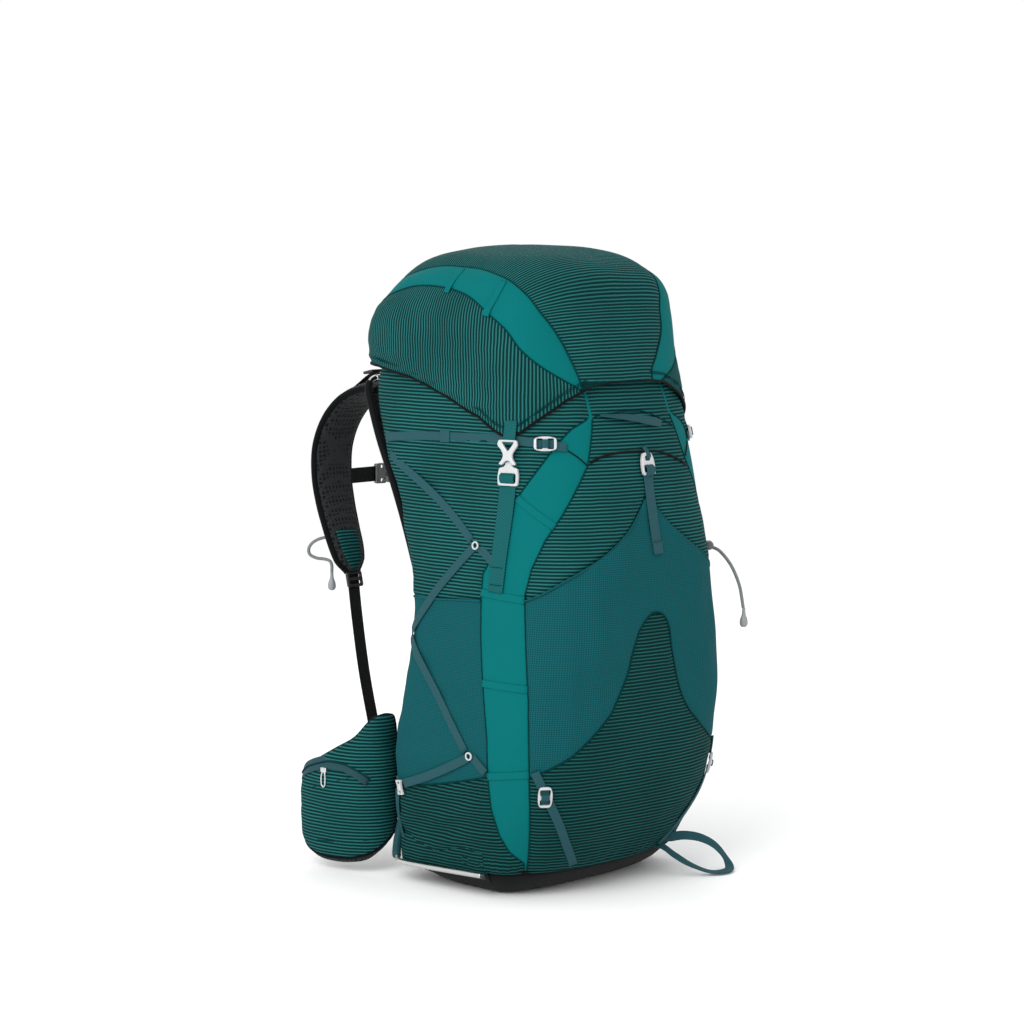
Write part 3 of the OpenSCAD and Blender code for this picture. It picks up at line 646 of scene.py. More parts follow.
def side_folds(c, V, away):
    """Wrinkles of the loose lower side panel, gathered under the compression straps."""
    return (creases(34, 1.9, 12, (1, 0.7, 1.9))(c, V, away)
            + gathers(c, V, np.abs(c["low"]), 12, 0.9, 16, 13)
            + gathers(c, V, V[:, 2] - BASE_SEAM, 14, 0.6, 18, 16))


def side_bulge(c, V, away):
    """The upper side swells between its straps."""
    return (creases(75, 1.7, 14, (1, 0.8, 1.8))(c, V, away) + creases(30, 0.6, 17)(c, V, away)
            - 3.4 * ease(7, -4, c["high"]))


for name, s in SIDES:
    strip = strips.cut("mid", -s)
    strip.sew("corner_strip_" + name + "_fabric", "teal_fabric", ["front", "side"], 0.9, "bag", 5.0,
              cad="corner_strip_" + name)
    side = sides.cut("mid", -s)
    side.cut("behind", -1).sew("side_panel_" + name + "_fabric", "striped_fabric", ["side", "rear"], 2.6, "bag",
                               shape=side_bulge, cad="side_panel_" + name)
    side.cut("high").cut("low", -1).sew("side_pocket_" + name + "_mesh", "stretch_mesh",
                                        ["side", "rear", "low"], 1.8, "bag", shape=creases(70, 1.2, 15),
                                        cad="side_pocket_" + name)
    # the foot of the side panel is the same striped cloth, painted darker as shade
    side.cut("low").sew("side_panel_" + name + "_foot", "striped_painted_shade", ["side", "rear", "low"], 3.2, "bag",
                        shape=side_folds, slot="striped_fabric")


def on_bag(stations, d=0.0, side=1):
    """Line on the bag's surface through angles and heights, and its normals."""
    q = smooth(np.array(stations, float) * [side, 1], 8)
    return surf(BAG, q[:, 0], q[:, 1], d), normal(BAG, q[:, 0], q[:, 1])


def on_front(table, d=0.4):
    """Line on the front of the bag through X and height."""
    q = smooth(table, 6)
    k = row(BAG, q[:, 1])
    th = np.degrees(np.arcsin(np.clip(q[:, 0] / k[:, 1], -0.99, 0.99)))
    for _ in range(30):
        th = th + (q[:, 0] - surf(BAG, th, q[:, 1])[:, 0]) * 0.35
    keep = np.abs(th) < interp(q[:, 1], FRONT_SEAM)
    return surf(BAG, th[keep], q[keep, 1], d)


heights = np.linspace(34, 528, 110)
for name, s in SIDES:
    for label, seam in (("front", FRONT_SEAM), ("side", SIDE_SEAM)):
        tube("seam_" + label + "_" + name, surf(BAG, s * interp(heights, seam), heights, 0.5), 0.65,
             "dark_thread", "bag", 6)
    for k, (out, inn) in enumerate([(445, 415), (340, 336), (243, 241), (142, 148)]):
        share = np.linspace(0, 1, 14)
        z = out + (inn - out) * share
        th = s * (interp(z, SIDE_SEAM) * (1 - share) + interp(z, FRONT_SEAM) * share)
        ribbon(f"strip_tape_{name}_{k}", surf(BAG, th, z, 1.5), normal(BAG, th, z), 8, 0.7, "teal_fabric", "bag")
tube("piping_front", on_front(PIPED_ARC, d=0.9), 1.3, "black_piping", "bag", 8)
tube("seam_front_top", on_front(TOP_SEAM, d=0.6), 0.7, "dark_thread", "bag", 6)
tube("seam_window", on_front(ARCH, d=0.7), 0.8, "dark_thread", "bag", 6)
share = np.linspace(-1, 1, 120)
top_z = interp(np.abs(share), POCKET_TOP)
tube("pocket_hem_front", surf(BAG, share * interp(top_z, FRONT_SEAM), top_z, 1.6), 1.2, "stretch_mesh", "bag", 8)
for name, s in SIDES:
    share = np.linspace(0, 1, 50)
    z = 331 - 7 * share
    th = interp(z, SIDE_SEAM) * (1 - share) + BACK_SEAM * share
    tube("pocket_hem_" + name, surf(BAG, s * th, z, 1.9), 1.2, "stretch_mesh", "bag", 8)
    z = 141 - 35 * share
    th = interp(z, SIDE_SEAM) * (1 - share) + BACK_SEAM * share
    tube("pocket_foot_" + name, surf(BAG, s * th, z, 0.7), 0.8, "dark_thread", "bag", 6)
    z = np.linspace(32, 586, 90)
    tube("seam_rear_" + name, surf(BAG, s * BACK_SEAM, z, 0.4), 1.1, "black_piping", "bag", 8)

# Back panel, following its hollow
u, z = np.meshgrid(np.linspace(-1, 1, 60), np.linspace(BASE_SEAM, TOP_TUCK, 120))
P = surf(BAG, 180 + u * (180 - BACK_SEAM), z)
P[..., 1] -= interp(z, BACK_HOLLOW) * (1 - u ** 4) + 0.7 * folds(P, 60, 21)
mesh("back_panel_fabric", P, grid_faces(60, 120), "black_fabric", "bag",
     {"stripe": z, "cross": P[..., 0]}, 1.5, cad="back_panel")
# Base, closed underneath
levels = [(BASE_SEAM, 0), (24, .3), (18, .3), (12, 0), (6, -.5), (2.5, -2), (.9, -6), (0.4, -12)]
th = np.linspace(0, 360, 160, endpoint=False)
rings = [surf(BAG, th, z, d) for z, d in levels]
foot = rings[-1] * [1, 1, 0] + [0, 0, 0.4]
centre = foot.mean(0)
rings += [centre + (foot - centre) * f for f in (0.8, 0.5, 0.2, 0.02)]
V = np.stack(rings)
mesh("base_fabric", V.reshape(-1, 3), [f[::-1] for f in grid_faces(160, len(rings), True)], "black_fabric", "bag",
     {"stripe": V[..., 2] + V[..., 1], "cross": V[..., 0]}, 1.2, cad="base_panel")
tube("piping_base", surf(BAG, np.linspace(0, 360, 161), 31.5, 0.8), 1.3, "black_piping", "bag", 8)
# Collar with its gathered hem
th, z = np.meshgrid(np.linspace(0, 360, 240, endpoint=False), np.linspace(532, 590, 24))
gather = np.sin(np.radians(th) * 34 + 2 * np.sin(np.radians(th) * 5)) * 1.1 * ease(560, 588, z)
P = surf(BAG, th, z, -3.2 + gather)
mesh("collar_fabric", P, grid_faces(240, 24, True), "lining_fabric", "bag",
     {"stripe": z, "cross": th * 2.4}, 0.8, cad="collar")
P = surf(BAG, np.linspace(8, 352, 87), 584, 1.8)
tube("drawcord", P, 1.3, "dark_cord", "bag", 8, cad="collar_drawcord")

# --- Lid ---
def lid_z(th, v):
    th = np.abs((th + 180) % 360 - 180)
    hem = interp(th, LID_HEM)
    return hem + (CROWN - hem) * (1 - (1 - v) ** 1.5)


def band_field(P, th, z, edges):
    """Signed distance to a coloured band of the lid, below 0 inside it."""
    inner, outer = (smooth(e, 8) for e in edges)
    loop = np.vstack([inner, outer])
    a, b = loop, np.roll(loop, -1, 0)
    inside = np.zeros(th.shape, bool)
    for (ax, az), (bx, bz) in zip(a, b):
        hit = ((az > z) != (bz > z)) & (th < (bx - ax) * (z - az) / (bz - az + 1e-12) + ax)
        inside ^= hit
    near = np.full(th.shape, 1e9)
    for line in (inner, outer):
        L = surf(LID, line[:, 0], line[:, 1])
        for p, q in zip(L[:-1], L[1:]):
            e = q - p
            s = np.clip(((P - p) @ e) / (e @ e + 1e-12), 0, 1)
            near = np.minimum(near, np.linalg.norm(P - p - s[..., None] * e, axis=-1))
    return np.where(inside, -near, near)


def between_bands(th, z):
    """True on the lid's centre panel."""
    left = np.interp(z, [p[1] for p in BAND_LEFT[0][:7]], [p[0] for p in BAND_LEFT[0][:7]])
    right = np.interp(z, [p[1] for p in BAND_RIGHT[0][:8]], [p[0] for p in BAND_RIGHT[0][:8]])
    back_left = np.interp(z, [560, 650, 688, 691], [-154, -150, -120, -84])
    front_part = (th > left) & (th < right)
    back_part = (th < back_left) | (th > -back_left)
    return front_part | back_part | (z > 691.5)


def lid_panel():
    th, v = np.meshgrid(np.linspace(-180, 180, 481), np.linspace(0, 0.985, 150))
    z = lid_z(th, v)
    c, P, N = surface_columns(LID, th, z)
    c["left"], c["right"] = band_field(P, th, z, BAND_LEFT), band_field(P, th, z, BAND_RIGHT)
    nearest = np.minimum(c["left"], c["right"])
    c["band"] = nearest
    middle = between_bands(th, z)
    c["centre"] = np.where(nearest < 0, 1.0, np.where(middle, -1, 1) * np.abs(nearest))
    c["flank"] = np.where(nearest < 0, 1.0, np.where(middle, 1, -1) * np.abs(nearest))
    profile = np.linspace(0, 1, 200)
    front_line = surf(LID, 0.0, lid_z(np.zeros(200), profile))
    back_line = surf(LID, 180.0, lid_z(np.full(200, 180.0), profile))[::-1]
    line = np.vstack([front_line, back_line])
    angle = np.unwrap(np.arctan2(line[:, 2] - LID_TURN, LID_MIDDLE - line[:, 1]))
    order = np.argsort(angle)
    run = lengths(line)
    here = np.arctan2(P[..., 2] - LID_TURN, LID_MIDDLE - P[..., 1])
    here = np.where(here < -math.pi / 2, here + 2 * math.pi, here)
    across_line = np.interp(here, angle[order], run[order])
    outline = surf(LID, np.linspace(-180, 180, 721), float(LID_TURN))
    bearing = np.unwrap(np.arctan2(outline[:, 0], LID_MIDDLE - outline[:, 1]))
    turn = np.interp(np.arctan2(P[..., 0], LID_MIDDLE - P[..., 1]), bearing, lengths(outline))
    c["stripe"] = np.where(middle, across_line, turn)
    c["cross"] = np.where(middle, P[..., 0], z)
    c["hem"] = z - lid_z(th, np.zeros_like(th))
    return Panel(flat_columns(c), grid_faces(th.shape[1], th.shape[0]))


lid = lid_panel()
th = np.linspace(0, 360, 90, endpoint=False)
rim = lid_z(np.zeros(1), 0.985)[0]
ring = surf(LID, th, rim + 0.05) + normal(LID, th, np.full(90, rim)) * 4.1
rings = np.stack([ring.mean(0) + (ring - ring.mean(0)) * [f, f, 1] + [0, 0, 0.5 * (1 - f * f)]
                  for f in (1.08, 1, 0.75, 0.5, 0.25, 0.02)])
mesh("lid_crown_fabric", rings, grid_faces(90, 6, True), "striped_fabric", "lid",
     {"stripe": rings[..., 1], "cross": rings[..., 0]}, 1.0)
lid.cut("centre").sew("lid_centre_fabric", "striped_fabric", ["band"], 4.2, "lid", 16.0,
                      shape=creases(90, 1.2, 31, (1, 1, 1)), cad="lid_shell")
lid.cut("flank").sew("lid_flank_fabric", "striped_fabric", ["band", "hem"], 3.0, "lid", 12.0,
                     shape=lambda c, V, away: creases(80, 1.6, 33, (1, 1, 1))(c, V, away)
                     + creases(32, 0.6, 34)(c, V, away) + gathers(c, V, c["hem"], 12, 1.0, 14, 36),
                     slot="striped_fabric")
for name, _ in SIDES:
    lid.cut(name).sew("lid_band_" + name, "teal_fabric", ["band"], 1.6, "lid", 6.0,
                     shape=creases(70, 0.6, 35, (1, 1, 1)), slot="teal_fabric")
for name, edges in (("left", BAND_LEFT), ("right", BAND_RIGHT)):
    for label, e in zip(("inner", "outer"), edges):
        q = smooth(e, 10)
        q = q[q[:, 1] > interp(np.abs(q[:, 0]), LID_HEM) + 1]
        tube("lid_seam_" + name + "_" + label, surf(LID, q[:, 0], q[:, 1], 0.5), 0.8, "dark_thread", "lid", 6)
th = np.linspace(-180, 180, 361)
hem = interp(np.abs(th), LID_HEM)
tube("lid_hem_piping", surf(LID, th, hem + 0.6, 0.4), 1.5, "black_piping", "lid", 8)
for k, rise in enumerate((8.5, 10.3)):
    tube(f"lid_hem_stitch_{k}", surf(LID, th, hem + rise, 1.9 if k else 1.7), 0.42, "dark_thread", "lid", 5)

# --- Webbing sewn on the bag ---
WEB = 1.3
NARROW = 10
for name, s in SIDES:
    runs = [([[131, 500], [116, 505], [95, 507], [80, 508], [66, 507], [55, 505]], 3.6),
            ([[41, 499.5], [45.5, 501.5]], 2.6),
            ([[131, 482], [112, 440], [92, 395]], 3.4),
            ([[90.5, 388], [110, 345], [119, 322], [131, 288]], 3.4),
            ([[131, 282], [108, 225], [87, 166]], 3.2),
            ([[85, 160], [108, 134], [124, 117]], 3.8),
            ([[129, 106], [131, 75], [131, 42]], 3.8),
            ([[77.5, 374], [87, 389]], 2.6), ([[74, 146], [82, 161]], 3.0)]
    for k, (stations, d) in enumerate(runs):
        P, N = on_bag(stations, d, s)
        ribbon(f"compression_{name}_{k}", P, N, NARROW, WEB, "slate_webbing", "bag", slot="slate_webbing",
                   cad="compression_strap_" + name if k == 0 else None)
    P, N = on_bag([[107, 506.2], [103, 506.6]], 4.6, s)
    ribbon("compression_keeper_" + name, P, N, NARROW + 3, 1.6, "slate_webbing", "bag")
    P, N = on_bag([[40.5, 496], [36.5, 489], [32.6, 480]], 1.4, s)
    tube("strip_seam_" + name, P, 0.8, "black_piping", "bag", 6)
    P, N = on_bag([[70, 462], [71, 440], [72, 420], [74, 380], [75, 342]], 2.6, s)
    ribbon("lid_webbing_" + name, P, N, 21, 1.4, "teal_webbing", "bag", slot="teal_webbing",
           cad="lid_webbings" if s > 0 else None)
    for k, z in enumerate((350, 369)):
        th = s * np.linspace(75 - 3.6, 75 + 3.6, 9)
        tube(f"box_stitch_{name}_{k}", surf(BAG, th, np.full(9, z), 3.5), 0.4, "dark_thread", "bag", 5)
    P, N = on_bag([[44.5, 116], [40, 92], [34, 62], [27, 35]], 3.6, s)
    ribbon("pad_strap_" + name, P, N, NARROW, WEB, "slate_webbing", "bag", slot="slate_webbing",
           cad="pad_straps" if s > 0 else None)
    P, N = on_bag([[50.5, 151], [47.5, 134]], 2.8, s)
    ribbon("pad_strap_stub_" + name, P, N, NARROW, 2.2, "slate_webbing", "bag")
P = smooth([surf(BAG, -22.0, 532.0, 2.2), surf(BAG, -12.0, 530.0, 5.6), surf(BAG, 0.0, 526.0, 6.4),
            surf(BAG, 9.0, 522.0, 5.4), surf(BAG, 16.0, 519.0, 2.4)], 8)
roll = np.linspace(0, 1, len(P))
ribbon("front_handle_web", P, np.stack([P[:, 0] / 300, -1.2 + 0.9 * (1 - roll), 0.15 + 1.1 * (1 - roll) ** 2], 1),
       np.interp(roll, [0, .3, .7, 1], [5, 9, 10.5, 8]), 1.8, "slate_webbing", "bag",
       cad="front_handle")
P, N = on_bag([[0.6, 466], [0.6, 450], [0.8, 435], [1.5, 405], [2.2, 379]], 4.0)
ribbon("front_strap_web", P, N, 14.5, 1.4, "slate_webbing", "front_hook", cad="front_strap")
P, N = on_bag([[1.9, 391], [2.2, 378]], 5.4)
ribbon("front_strap_fold", P, N, 14.5, 1.6, "slate_webbing", "front_hook")
P = smooth([[84, -68, 42], [92, -75, 40], [108, -84, 41], [126, -93, 37], [140, -103, 28], [147, -113, 15],
            [143, -124, 5], [128, -131, 3.4], [110, -123, 4], [95, -106, 12], [86, -90, 22], [81, -79, 30],
            [76, -68, 35]], 6)
lean = ease(6, 22, P[:, 2])[:, None]
ribbon("axe_loop_web", P, np.array([0.2, -1, 0.3]) * lean + np.array([0, -0.2, 1]) * (1 - lean), 10.5, 1.5,
       "slate_webbing", "axe_loop", cad="axe_loop")
P = smooth([[-19, 214.5, 558], [-18, 219, 545], [-13, 225, 530], [0, 228, 523], [13, 225, 530], [18, 219, 545],
            [19, 214.5, 558]], 8)
ribbon("haul_loop_web", P, [0, 1, 0.25], 14, 1.6, "black_webbing", "haul_loop", cad="haul_loop")

# --- Buckles ---
# Places of the hardware: angle, height and, for most, lift off the fabric
LID_BUCKLE, WEBBING_BUCKLE = (68, 494), (69, 472, 2.4)
PAD_LOCK, SIDE_LOCK, FRONT_HOOK = (46.4, 124, 3.4), (50.5, 503, 3.2), (0.6, 476, 3.4)
BUCKLE_TOP = [[-11, 13], [11, 13], [12.6, 7], [8.5, 2.5], [5.2, -3], [6.4, -8], [11, -13.5], [6.5, -14.5],
              [2.6, -9.5], [-2.6, -9.5], [-6.5, -14.5], [-11, -13.5], [-6.4, -8], [-5.2, -3], [-8.5, 2.5],
              [-12.6, 7]]
LOOP_OUT = [[-12.4, -14.6], [12.4, -14.6], [13.2, -5], [11.6, 4.6], [4.6, 6.2], [3.4, 12], [-3.4, 12],
            [-4.6, 6.2], [-11.6, 4.6], [-13.2, -5]]


def ladder_lock(name, w, h, t, where, body, cad):
    outer = rounded([[-w / 2 + 2, -h / 2], [w / 2 - 2, -h / 2], [w / 2, -h * .22], [w / 2, h * .22],
                     [w / 2 - 2, h / 2], [-w / 2 + 2, h / 2], [-w / 2, h * .22], [-w / 2, -h * .22]], 3.2)
    holes = [rounded(slab(w - 4.6, h * .27, 0, y * h * .24), 1.6) for y in (-1, 1)]
    return plate(name, [outer] + holes, t, where, "white_buckle", body, 0.9,
                 lift=lambda x, y: -0.05 * (y / h * 4) ** 2 * t, cad=cad)


THREADING = [[0, -12, 1.2], [0, -6, -.4], [0, -3.6, .6], [0, -2.6, 4.3], [0, 0, 4.9], [0, 2.6, 4.3], [0, 3.6, .6],
             [0, 6, -.4], [0, 12, .6]]


def laid(where, points, steps=4):
    """Smooth line through points given in a flat part's own frame."""
    m, q = where
    return smooth([m @ v + q for v in points], steps)


def turned(where, turn):
    m, q = where
    c, s = math.cos(math.radians(turn)), math.sin(math.radians(turn))
    return m @ np.array([[c, -s, 0], [s, c, 0], [0, 0, 1.0]]), q


for name, s in SIDES:
    hinge = "buckle_" + name
    plate("lid_buckle_" + name + "_plate",
          [rounded(BUCKLE_TOP, 2.4), rounded([[-7.6, 10.6], [7.6, 10.6], [3.4, 4.4], [0, 0.6], [-3.4, 4.4]][::-1],
                                             1.4)],
          4.0, seat(BAG, *LID_BUCKLE, 7.2, s), "white_buckle", "lid", 1.0,
          lift=lambda x, y: 1.4 * ease(5, 13, np.abs(x)) * ease(0, 9, y), cad="lid_buckle_" + name)
    plate("webbing_buckle_" + name + "_plate", [rounded(LOOP_OUT, 2.6), rounded(slab(19.6, 10.4, 0, -6.4), 2.2)],
          4.2, seat(BAG, *WEBBING_BUCKLE, s), "white_buckle", hinge, 1.0, cad="webbing_buckle_" + name)
    m, q = seat(BAG, *LID_BUCKLE, 8.0, s)
    y = np.linspace(7.5, 34, 9)
    P = np.array([m @ [0, v, -2.2 * ease(12, 30, v)] + q for v in y])
    ribbon("buckle_tab_" + name, P, m[:, 2], 15, 2.4, "teal_webbing", "lid")
    where = seat(BAG, *WEBBING_BUCKLE, s)
    turn = [[0, -13, 1.0], [0, -11, 4.6], [0, -7.5, 6.6], [0, -4, 6.4], [0, -2, 3.0], [0, -3.5, 0.4],
            [0, -9, -0.6]]
    P = laid(where, turn)
    ribbon("buckle_fold_" + name, P, np.cross(along(P), where[0][:, 0]), 18, 1.3, "teal_webbing", hinge)
    where = seat(BAG, *PAD_LOCK, s)
    ladder_lock("pad_adjuster_" + name + "_frame", 16, 24, 3.6, where, "pad_lock_" + name, "pad_adjuster_" + name)
    P = laid(where, THREADING)
    ribbon("pad_threading_" + name, P, np.cross(along(P), where[0][:, 0]), 9.4, 1.2, "slate_webbing",
           "pad_lock_" + name)
    where = turned(seat(BAG, *SIDE_LOCK, s), 90)
    ladder_lock("side_adjuster_" + name + "_frame", 16, 25, 3.6, where, "side_lock_" + name,
                "side_adjuster_" + name)
    P = laid(where, THREADING)
    ribbon("side_threading_" + name, P, np.cross(along(P), where[0][:, 0]), 9.4, 1.2, "slate_webbing",
           "side_lock_" + name)
    for k, (th, z, d) in enumerate([(88.5, 390, 4.2), (83.5, 162, 4.2)]):
        a = np.linspace(0, 2 * math.pi, 28, endpoint=False)
        ring = np.stack([np.cos(a), np.sin(a)], 1)
        plate(f"strap_hook_{name}_{k}", [ring * 4.7, ring * 3.0], 2.2, seat(BAG, th, z, d, s),
              "white_buckle", "bag", 0.6, slot="white_buckle",
              cad="strap_hooks" if s > 0 and k == 0 else None)
    plate("strap_bar_" + name, [rounded([[-6, -8.5], [6, -8.5], [4, -3], [4, 3], [6, 8.5], [-6, 8.5], [-4, 3],
                                         [-4, -3]], 1.6), rounded(slab(5.6, 2.6, 0, 5.2), 1.0),
                                rounded(slab(5.6, 2.6, 0, -5.2), 1.0)],
          3.4, turned(seat(BAG, 126.8, 112, 3.6, s), 8), "white_buckle", "bag", 0.8)
hook = seat(BAG, *FRONT_HOOK)
plate("front_hook_plate", [rounded([[-9.6, -12.5], [9.6, -12.5], [10.6, -4], [9.8, 5], [6.5, 12.5], [-6.5, 12.5],
                                    [-9.8, 5], [-10.6, -4]], 3.0), rounded(slab(15, 8, 0, -5.4), 1.8),
                           rounded(slab(8.4, 5, 0, 6), 1.6)],
      4.0, hook, "white_buckle", "front_hook", 1.0, cad="front_hook")
across = hook[0][:, 0]
P = laid(hook, [[0, -14, .6], [0, -11, 4.8], [0, -6, 6.4], [0, -2.5, 4.4], [0, -2.5, 1]], 5)
ribbon("front_hook_fold", P, np.cross(along(P), across), 13.5, 1.3, "slate_webbing", "front_hook")
P = laid(hook, [[1, 4, 1.6], [1, 9, 4.8], [1, 14, 2.4], [1, 19, -.6]], 5)
ribbon("front_hook_tab", P, np.cross(across, along(P)), 6.5, 1.2, "slate_webbing", "bag")

# --- Cords ---
CORD_R = 1.9


def free_cord(name, route, body, cad, side=1):
    """Round cord along a route that ends in its pull."""
    P = smooth(mirrored(route, side), 8)
    o = tube(name, P, CORD_R, "grey_cord", body, cad=cad)
    float(lengths(P)[-1] * MM)


def turned_piece(name, profile, place, look, body, n=24, **more):
    """Round piece about a vertical axis through a profile of radius and height."""
    p = smooth(profile, 5)
    a = np.linspace(0, 2 * math.pi, n, endpoint=False)
    rings = [np.stack([r * np.cos(a), r * np.sin(a), np.full(n, z)], 1) + place for r, z in p]
    V, F = loft(rings)
    return mesh(name, V, F, look, body, closed=True, **more)


PULL = [[0.4, 0], [2.8, .5], [4.4, 3], [4.7, 6], [4.0, 10], [2.6, 13.5], [2.0, 17], [1.9, 21.5], [1.6, 22]]
tool_pull = turned_piece("tool_pull_drop", PULL, [163, -125.8, 280], "grey_plastic", "bag", cad="tool_cord_pull")
free_cord("tool_cord_line", [[151, -88, 370], [154, -95, 367], [157, -102, 360], [160, -109, 350],
                             [162, -115, 338], [163, -120, 325], [163, -123, 312], [163, -125, 302]],
          "bag", "tool_cord")
turn = np.array(Matrix.Rotation(math.radians(-47), 3, "Z") @ Matrix.Rotation(math.radians(90), 3, "X"))
a = np.linspace(0, 2 * math.pi, 24, endpoint=False)
rings = [np.stack([r * np.cos(a), r * 0.92 * np.sin(a), np.full(24, h)], 1) @ turn.T + [149.5, -84.5, 372]
         for r, h in smooth([[3.6, -7], [5.4, -5.4], [5.7, -2], [4.6, 0], [5.7, 2], [5.4, 5.4], [3.6, 7]], 4)]
V, F = loft(rings)
mesh("tool_lock_barrel", V, F, "mid_plastic", "bag", closed=True, slot="grey_plastic", cad="tool_cord_lock")
pole_pull = turned_piece("pole_pull_drop", PULL, [-103, 275, 312], "grey_plastic", "strap_left",
                         cad="pole_cord_pull")
free_cord("pole_cord_line", [[101, 272, 373], [104, 280, 374], [110, 288, 372], [115, 295, 367],
                             [117, 299, 360], [115, 299, 353], [110, 293, 349], [105, 285, 348],
                             [103, 278, 346], [103, 275, 341], [103, 275, 334]],
          "strap_left", "pole_cord", -1)
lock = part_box("collar_cord_lock")
mid = [(a + b) / 2 / MM for a, b in zip(*lock)]
turned_piece("drawcord_lock", [[3.2, -7], [4.4, -6], [4.6, 0], [4.4, 3], [3.0, 4], [3.2, 6], [2.4, 7]],
             mid, "dark_buckle", "bag", cad="collar_cord_lock")

# --- Frame and back ---
ROD_R = 3.0
NET_GAP = 5.0                               # from the hollow back to the tensioned net
NET_HALF, NET_LOW, NET_TOP = 108, 96, 546
up = np.array([[112, back_y(z) + NET_GAP, z] for z in np.arange(100, 541, 44.0)])
foot = [[150, -14, 25], [150, 50, 23], [150, 108, 22], [146, 125, 25], [136, 135, 38], [124, 140, 62]]
rod = smooth(np.vstack([foot, up, [[110, 205, 552], [104, 207, 560], [97, 207, 563]]]), 6)
for name, s in SIDES:
    tube("frame_rod_" + name + "_tube", mirrored(rod, s), ROD_R, "frame_alloy", "bag", 16, cad="frame_rod_" + name)
    sleeve = rod[(rod[:, 2] > 60)]
    tube("frame_sleeve_" + name, mirrored(sleeve[:-8], s), 4.4, "black_fabric", "bag", 16)
    cuff = rod[(rod[:, 2] > 25.5) & (rod[:, 2] <= 66) & (rod[:, 1] > 110)]
    tube("frame_cuff_" + name, mirrored(cuff, s), 5.0, "slate_webbing", "bag", 16)
    share = np.linspace(0, 1, 60)
    run = smooth([[146, -16, 24], [146, 50, 22], [146, 106, 21], [142, 121, 24]], 20)
    low = np.stack([np.interp(share, np.linspace(0, 1, len(run)), run[:, k]) for k in range(3)], 1)
    # the side gusset is the same striped cloth, painted darker as shade
    for label, z, look, lift, puff in (("side", 58, "striped_painted_shade", 2.0, 1),
                                       ("under", 8, "black_fabric", -1.0, 0)):
        top = surf(BAG, 80 + 55 * share, z, lift)
        v = np.linspace(0, 1, 24)[:, None, None]
        sheet = top + (low - top) * v
        middle = np.sin(v[..., 0] * math.pi)
        sheet[..., 2] += 2.2 * puff * middle * np.sin(share * 26 + 2)
        sheet[..., 0] += 2.4 * middle * puff
        F = grid_faces(60, 24)
        mesh(f"frame_gusset_{label}_{name}", mirrored(sheet, s), F if (s > 0) == (puff == 0) else F[:, ::-1],
             look, "bag", {"stripe": sheet[..., 2], "cross": sheet[..., 1]}, 1.0)
    end = mirrored([[150, -15.5, 25], [150, -11, 25]], s)
    tube("frame_cap_" + name, end, 3.5, "dark_buckle", "bag", 16)
tube("frame_crossbar_tube", [[x, 207, 563] for x in np.linspace(-96, 96, 14)], ROD_R, "frame_alloy", "bag", 16,
     cad="frame_crossbar")
x, z = np.meshgrid(np.linspace(-NET_HALF, NET_HALF, 60), np.linspace(NET_LOW, NET_TOP, 120))
P = np.stack([x, back_y(z) + NET_GAP + 0.4 * folds(np.stack([x, z, z], -1), 90, 41), z], -1)
mesh("back_mesh_net", P, grid_faces(60, 120)[:, ::-1], "air_mesh", "bag",
     {"stripe": z, "cross": x}, 1.4, cad="back_mesh")
edge = np.array([[side * NET_HALF, back_y(z) + NET_GAP, z] for side, zs in (
    (1, np.linspace(NET_LOW, NET_TOP, 40)), (-1, np.linspace(NET_TOP, NET_LOW, 40))) for z in zs])
tube("back_mesh_binding", edge, 2.0, "black_piping", "bag", 8)


def cushion_faces(nu, nv):
    """Faces that close a back and a front grid of nv rows by nu columns into one cushion."""
    g, n = grid_faces(nu, nv), nu * nv
    i, j = np.arange(nu), np.arange(nv)
    ring = np.concatenate([i, j[1:] * nu + nu - 1, n - nu + i[::-1][1:], j[::-1][1:-1] * nu])
    after = np.roll(ring, -1)
    return np.vstack([g[:, ::-1], g + n, np.stack([ring, after, after + n, ring + n], 1)])


def pad(name, centre, half, look, body, power=3.2, channels=0, **more):
    """Foam pad with crowned faces and sewn channels across it; its thin way is Y."""
    u, v = np.meshgrid(np.linspace(-1, 1, 56), np.linspace(-1, 1, 56))
    rim = np.clip(1 - np.abs(u) ** power, 0, 1) * np.clip(1 - np.abs(v) ** power, 0, 1)
    body_t = 0.25 + 0.75 * rim ** 0.35
    if channels:
        body_t = body_t * (1 - 0.3 * np.exp(-(((v * channels) % 1 - 0.5) / 0.09) ** 2) * rim)
    su, sv = u * (1 - 0.05 * v ** 4), v * (1 - 0.06 * u ** 4)
    sheets = []
    for side in (1, -1):
        sheets.append(np.stack([su * half[0], side * body_t * half[1], sv * half[2]], -1) + centre)
    V = np.concatenate([sheets[0].reshape(-1, 3), sheets[1].reshape(-1, 3)])
    o = mesh(name, V, cushion_faces(56, 56), look, body, closed=True, **more)
    return o


pad("lumbar_pad_foam", np.array([0, 157, 112.0]), (112, 9, 68), "air_mesh", "bag", channels=3, cad="lumbar_pad")
u, v = np.meshgrid(np.linspace(-1, 1, 50), np.linspace(-1, 1, 40))
rim = (np.clip(1 - np.abs(u) ** 6, 0, 1) * np.clip(1 - np.abs(v) ** 6, 0, 1)) ** 0.4
z = 495 + 51 * v
V = np.concatenate([np.stack([u * 86, back_y(z) + 9.5 + side * (0.8 + 2.7 * rim), z], -1).reshape(-1, 3)
                    for side in (1, -1)])
yoke = mesh("yoke_pad", V, cushion_faces(50, 40), "air_mesh", "bag", closed=True, cad="yoke")

# --- Shoulder straps ---
STRAP = np.array([[62, 216, 548, 60], [66, 238, 547, 60], [71, 264, 535, 59], [77, 284, 511, 58],
                  [83, 293, 480, 57], [89, 289, 446, 56], [93, 279, 415, 54], [96, 267, 388, 51],
                  [97, 256, 362, 47], [97, 250, 346, 36]], float)
STRAP[-1] = [97, 247, 336, 34]
STRAP_T = 17


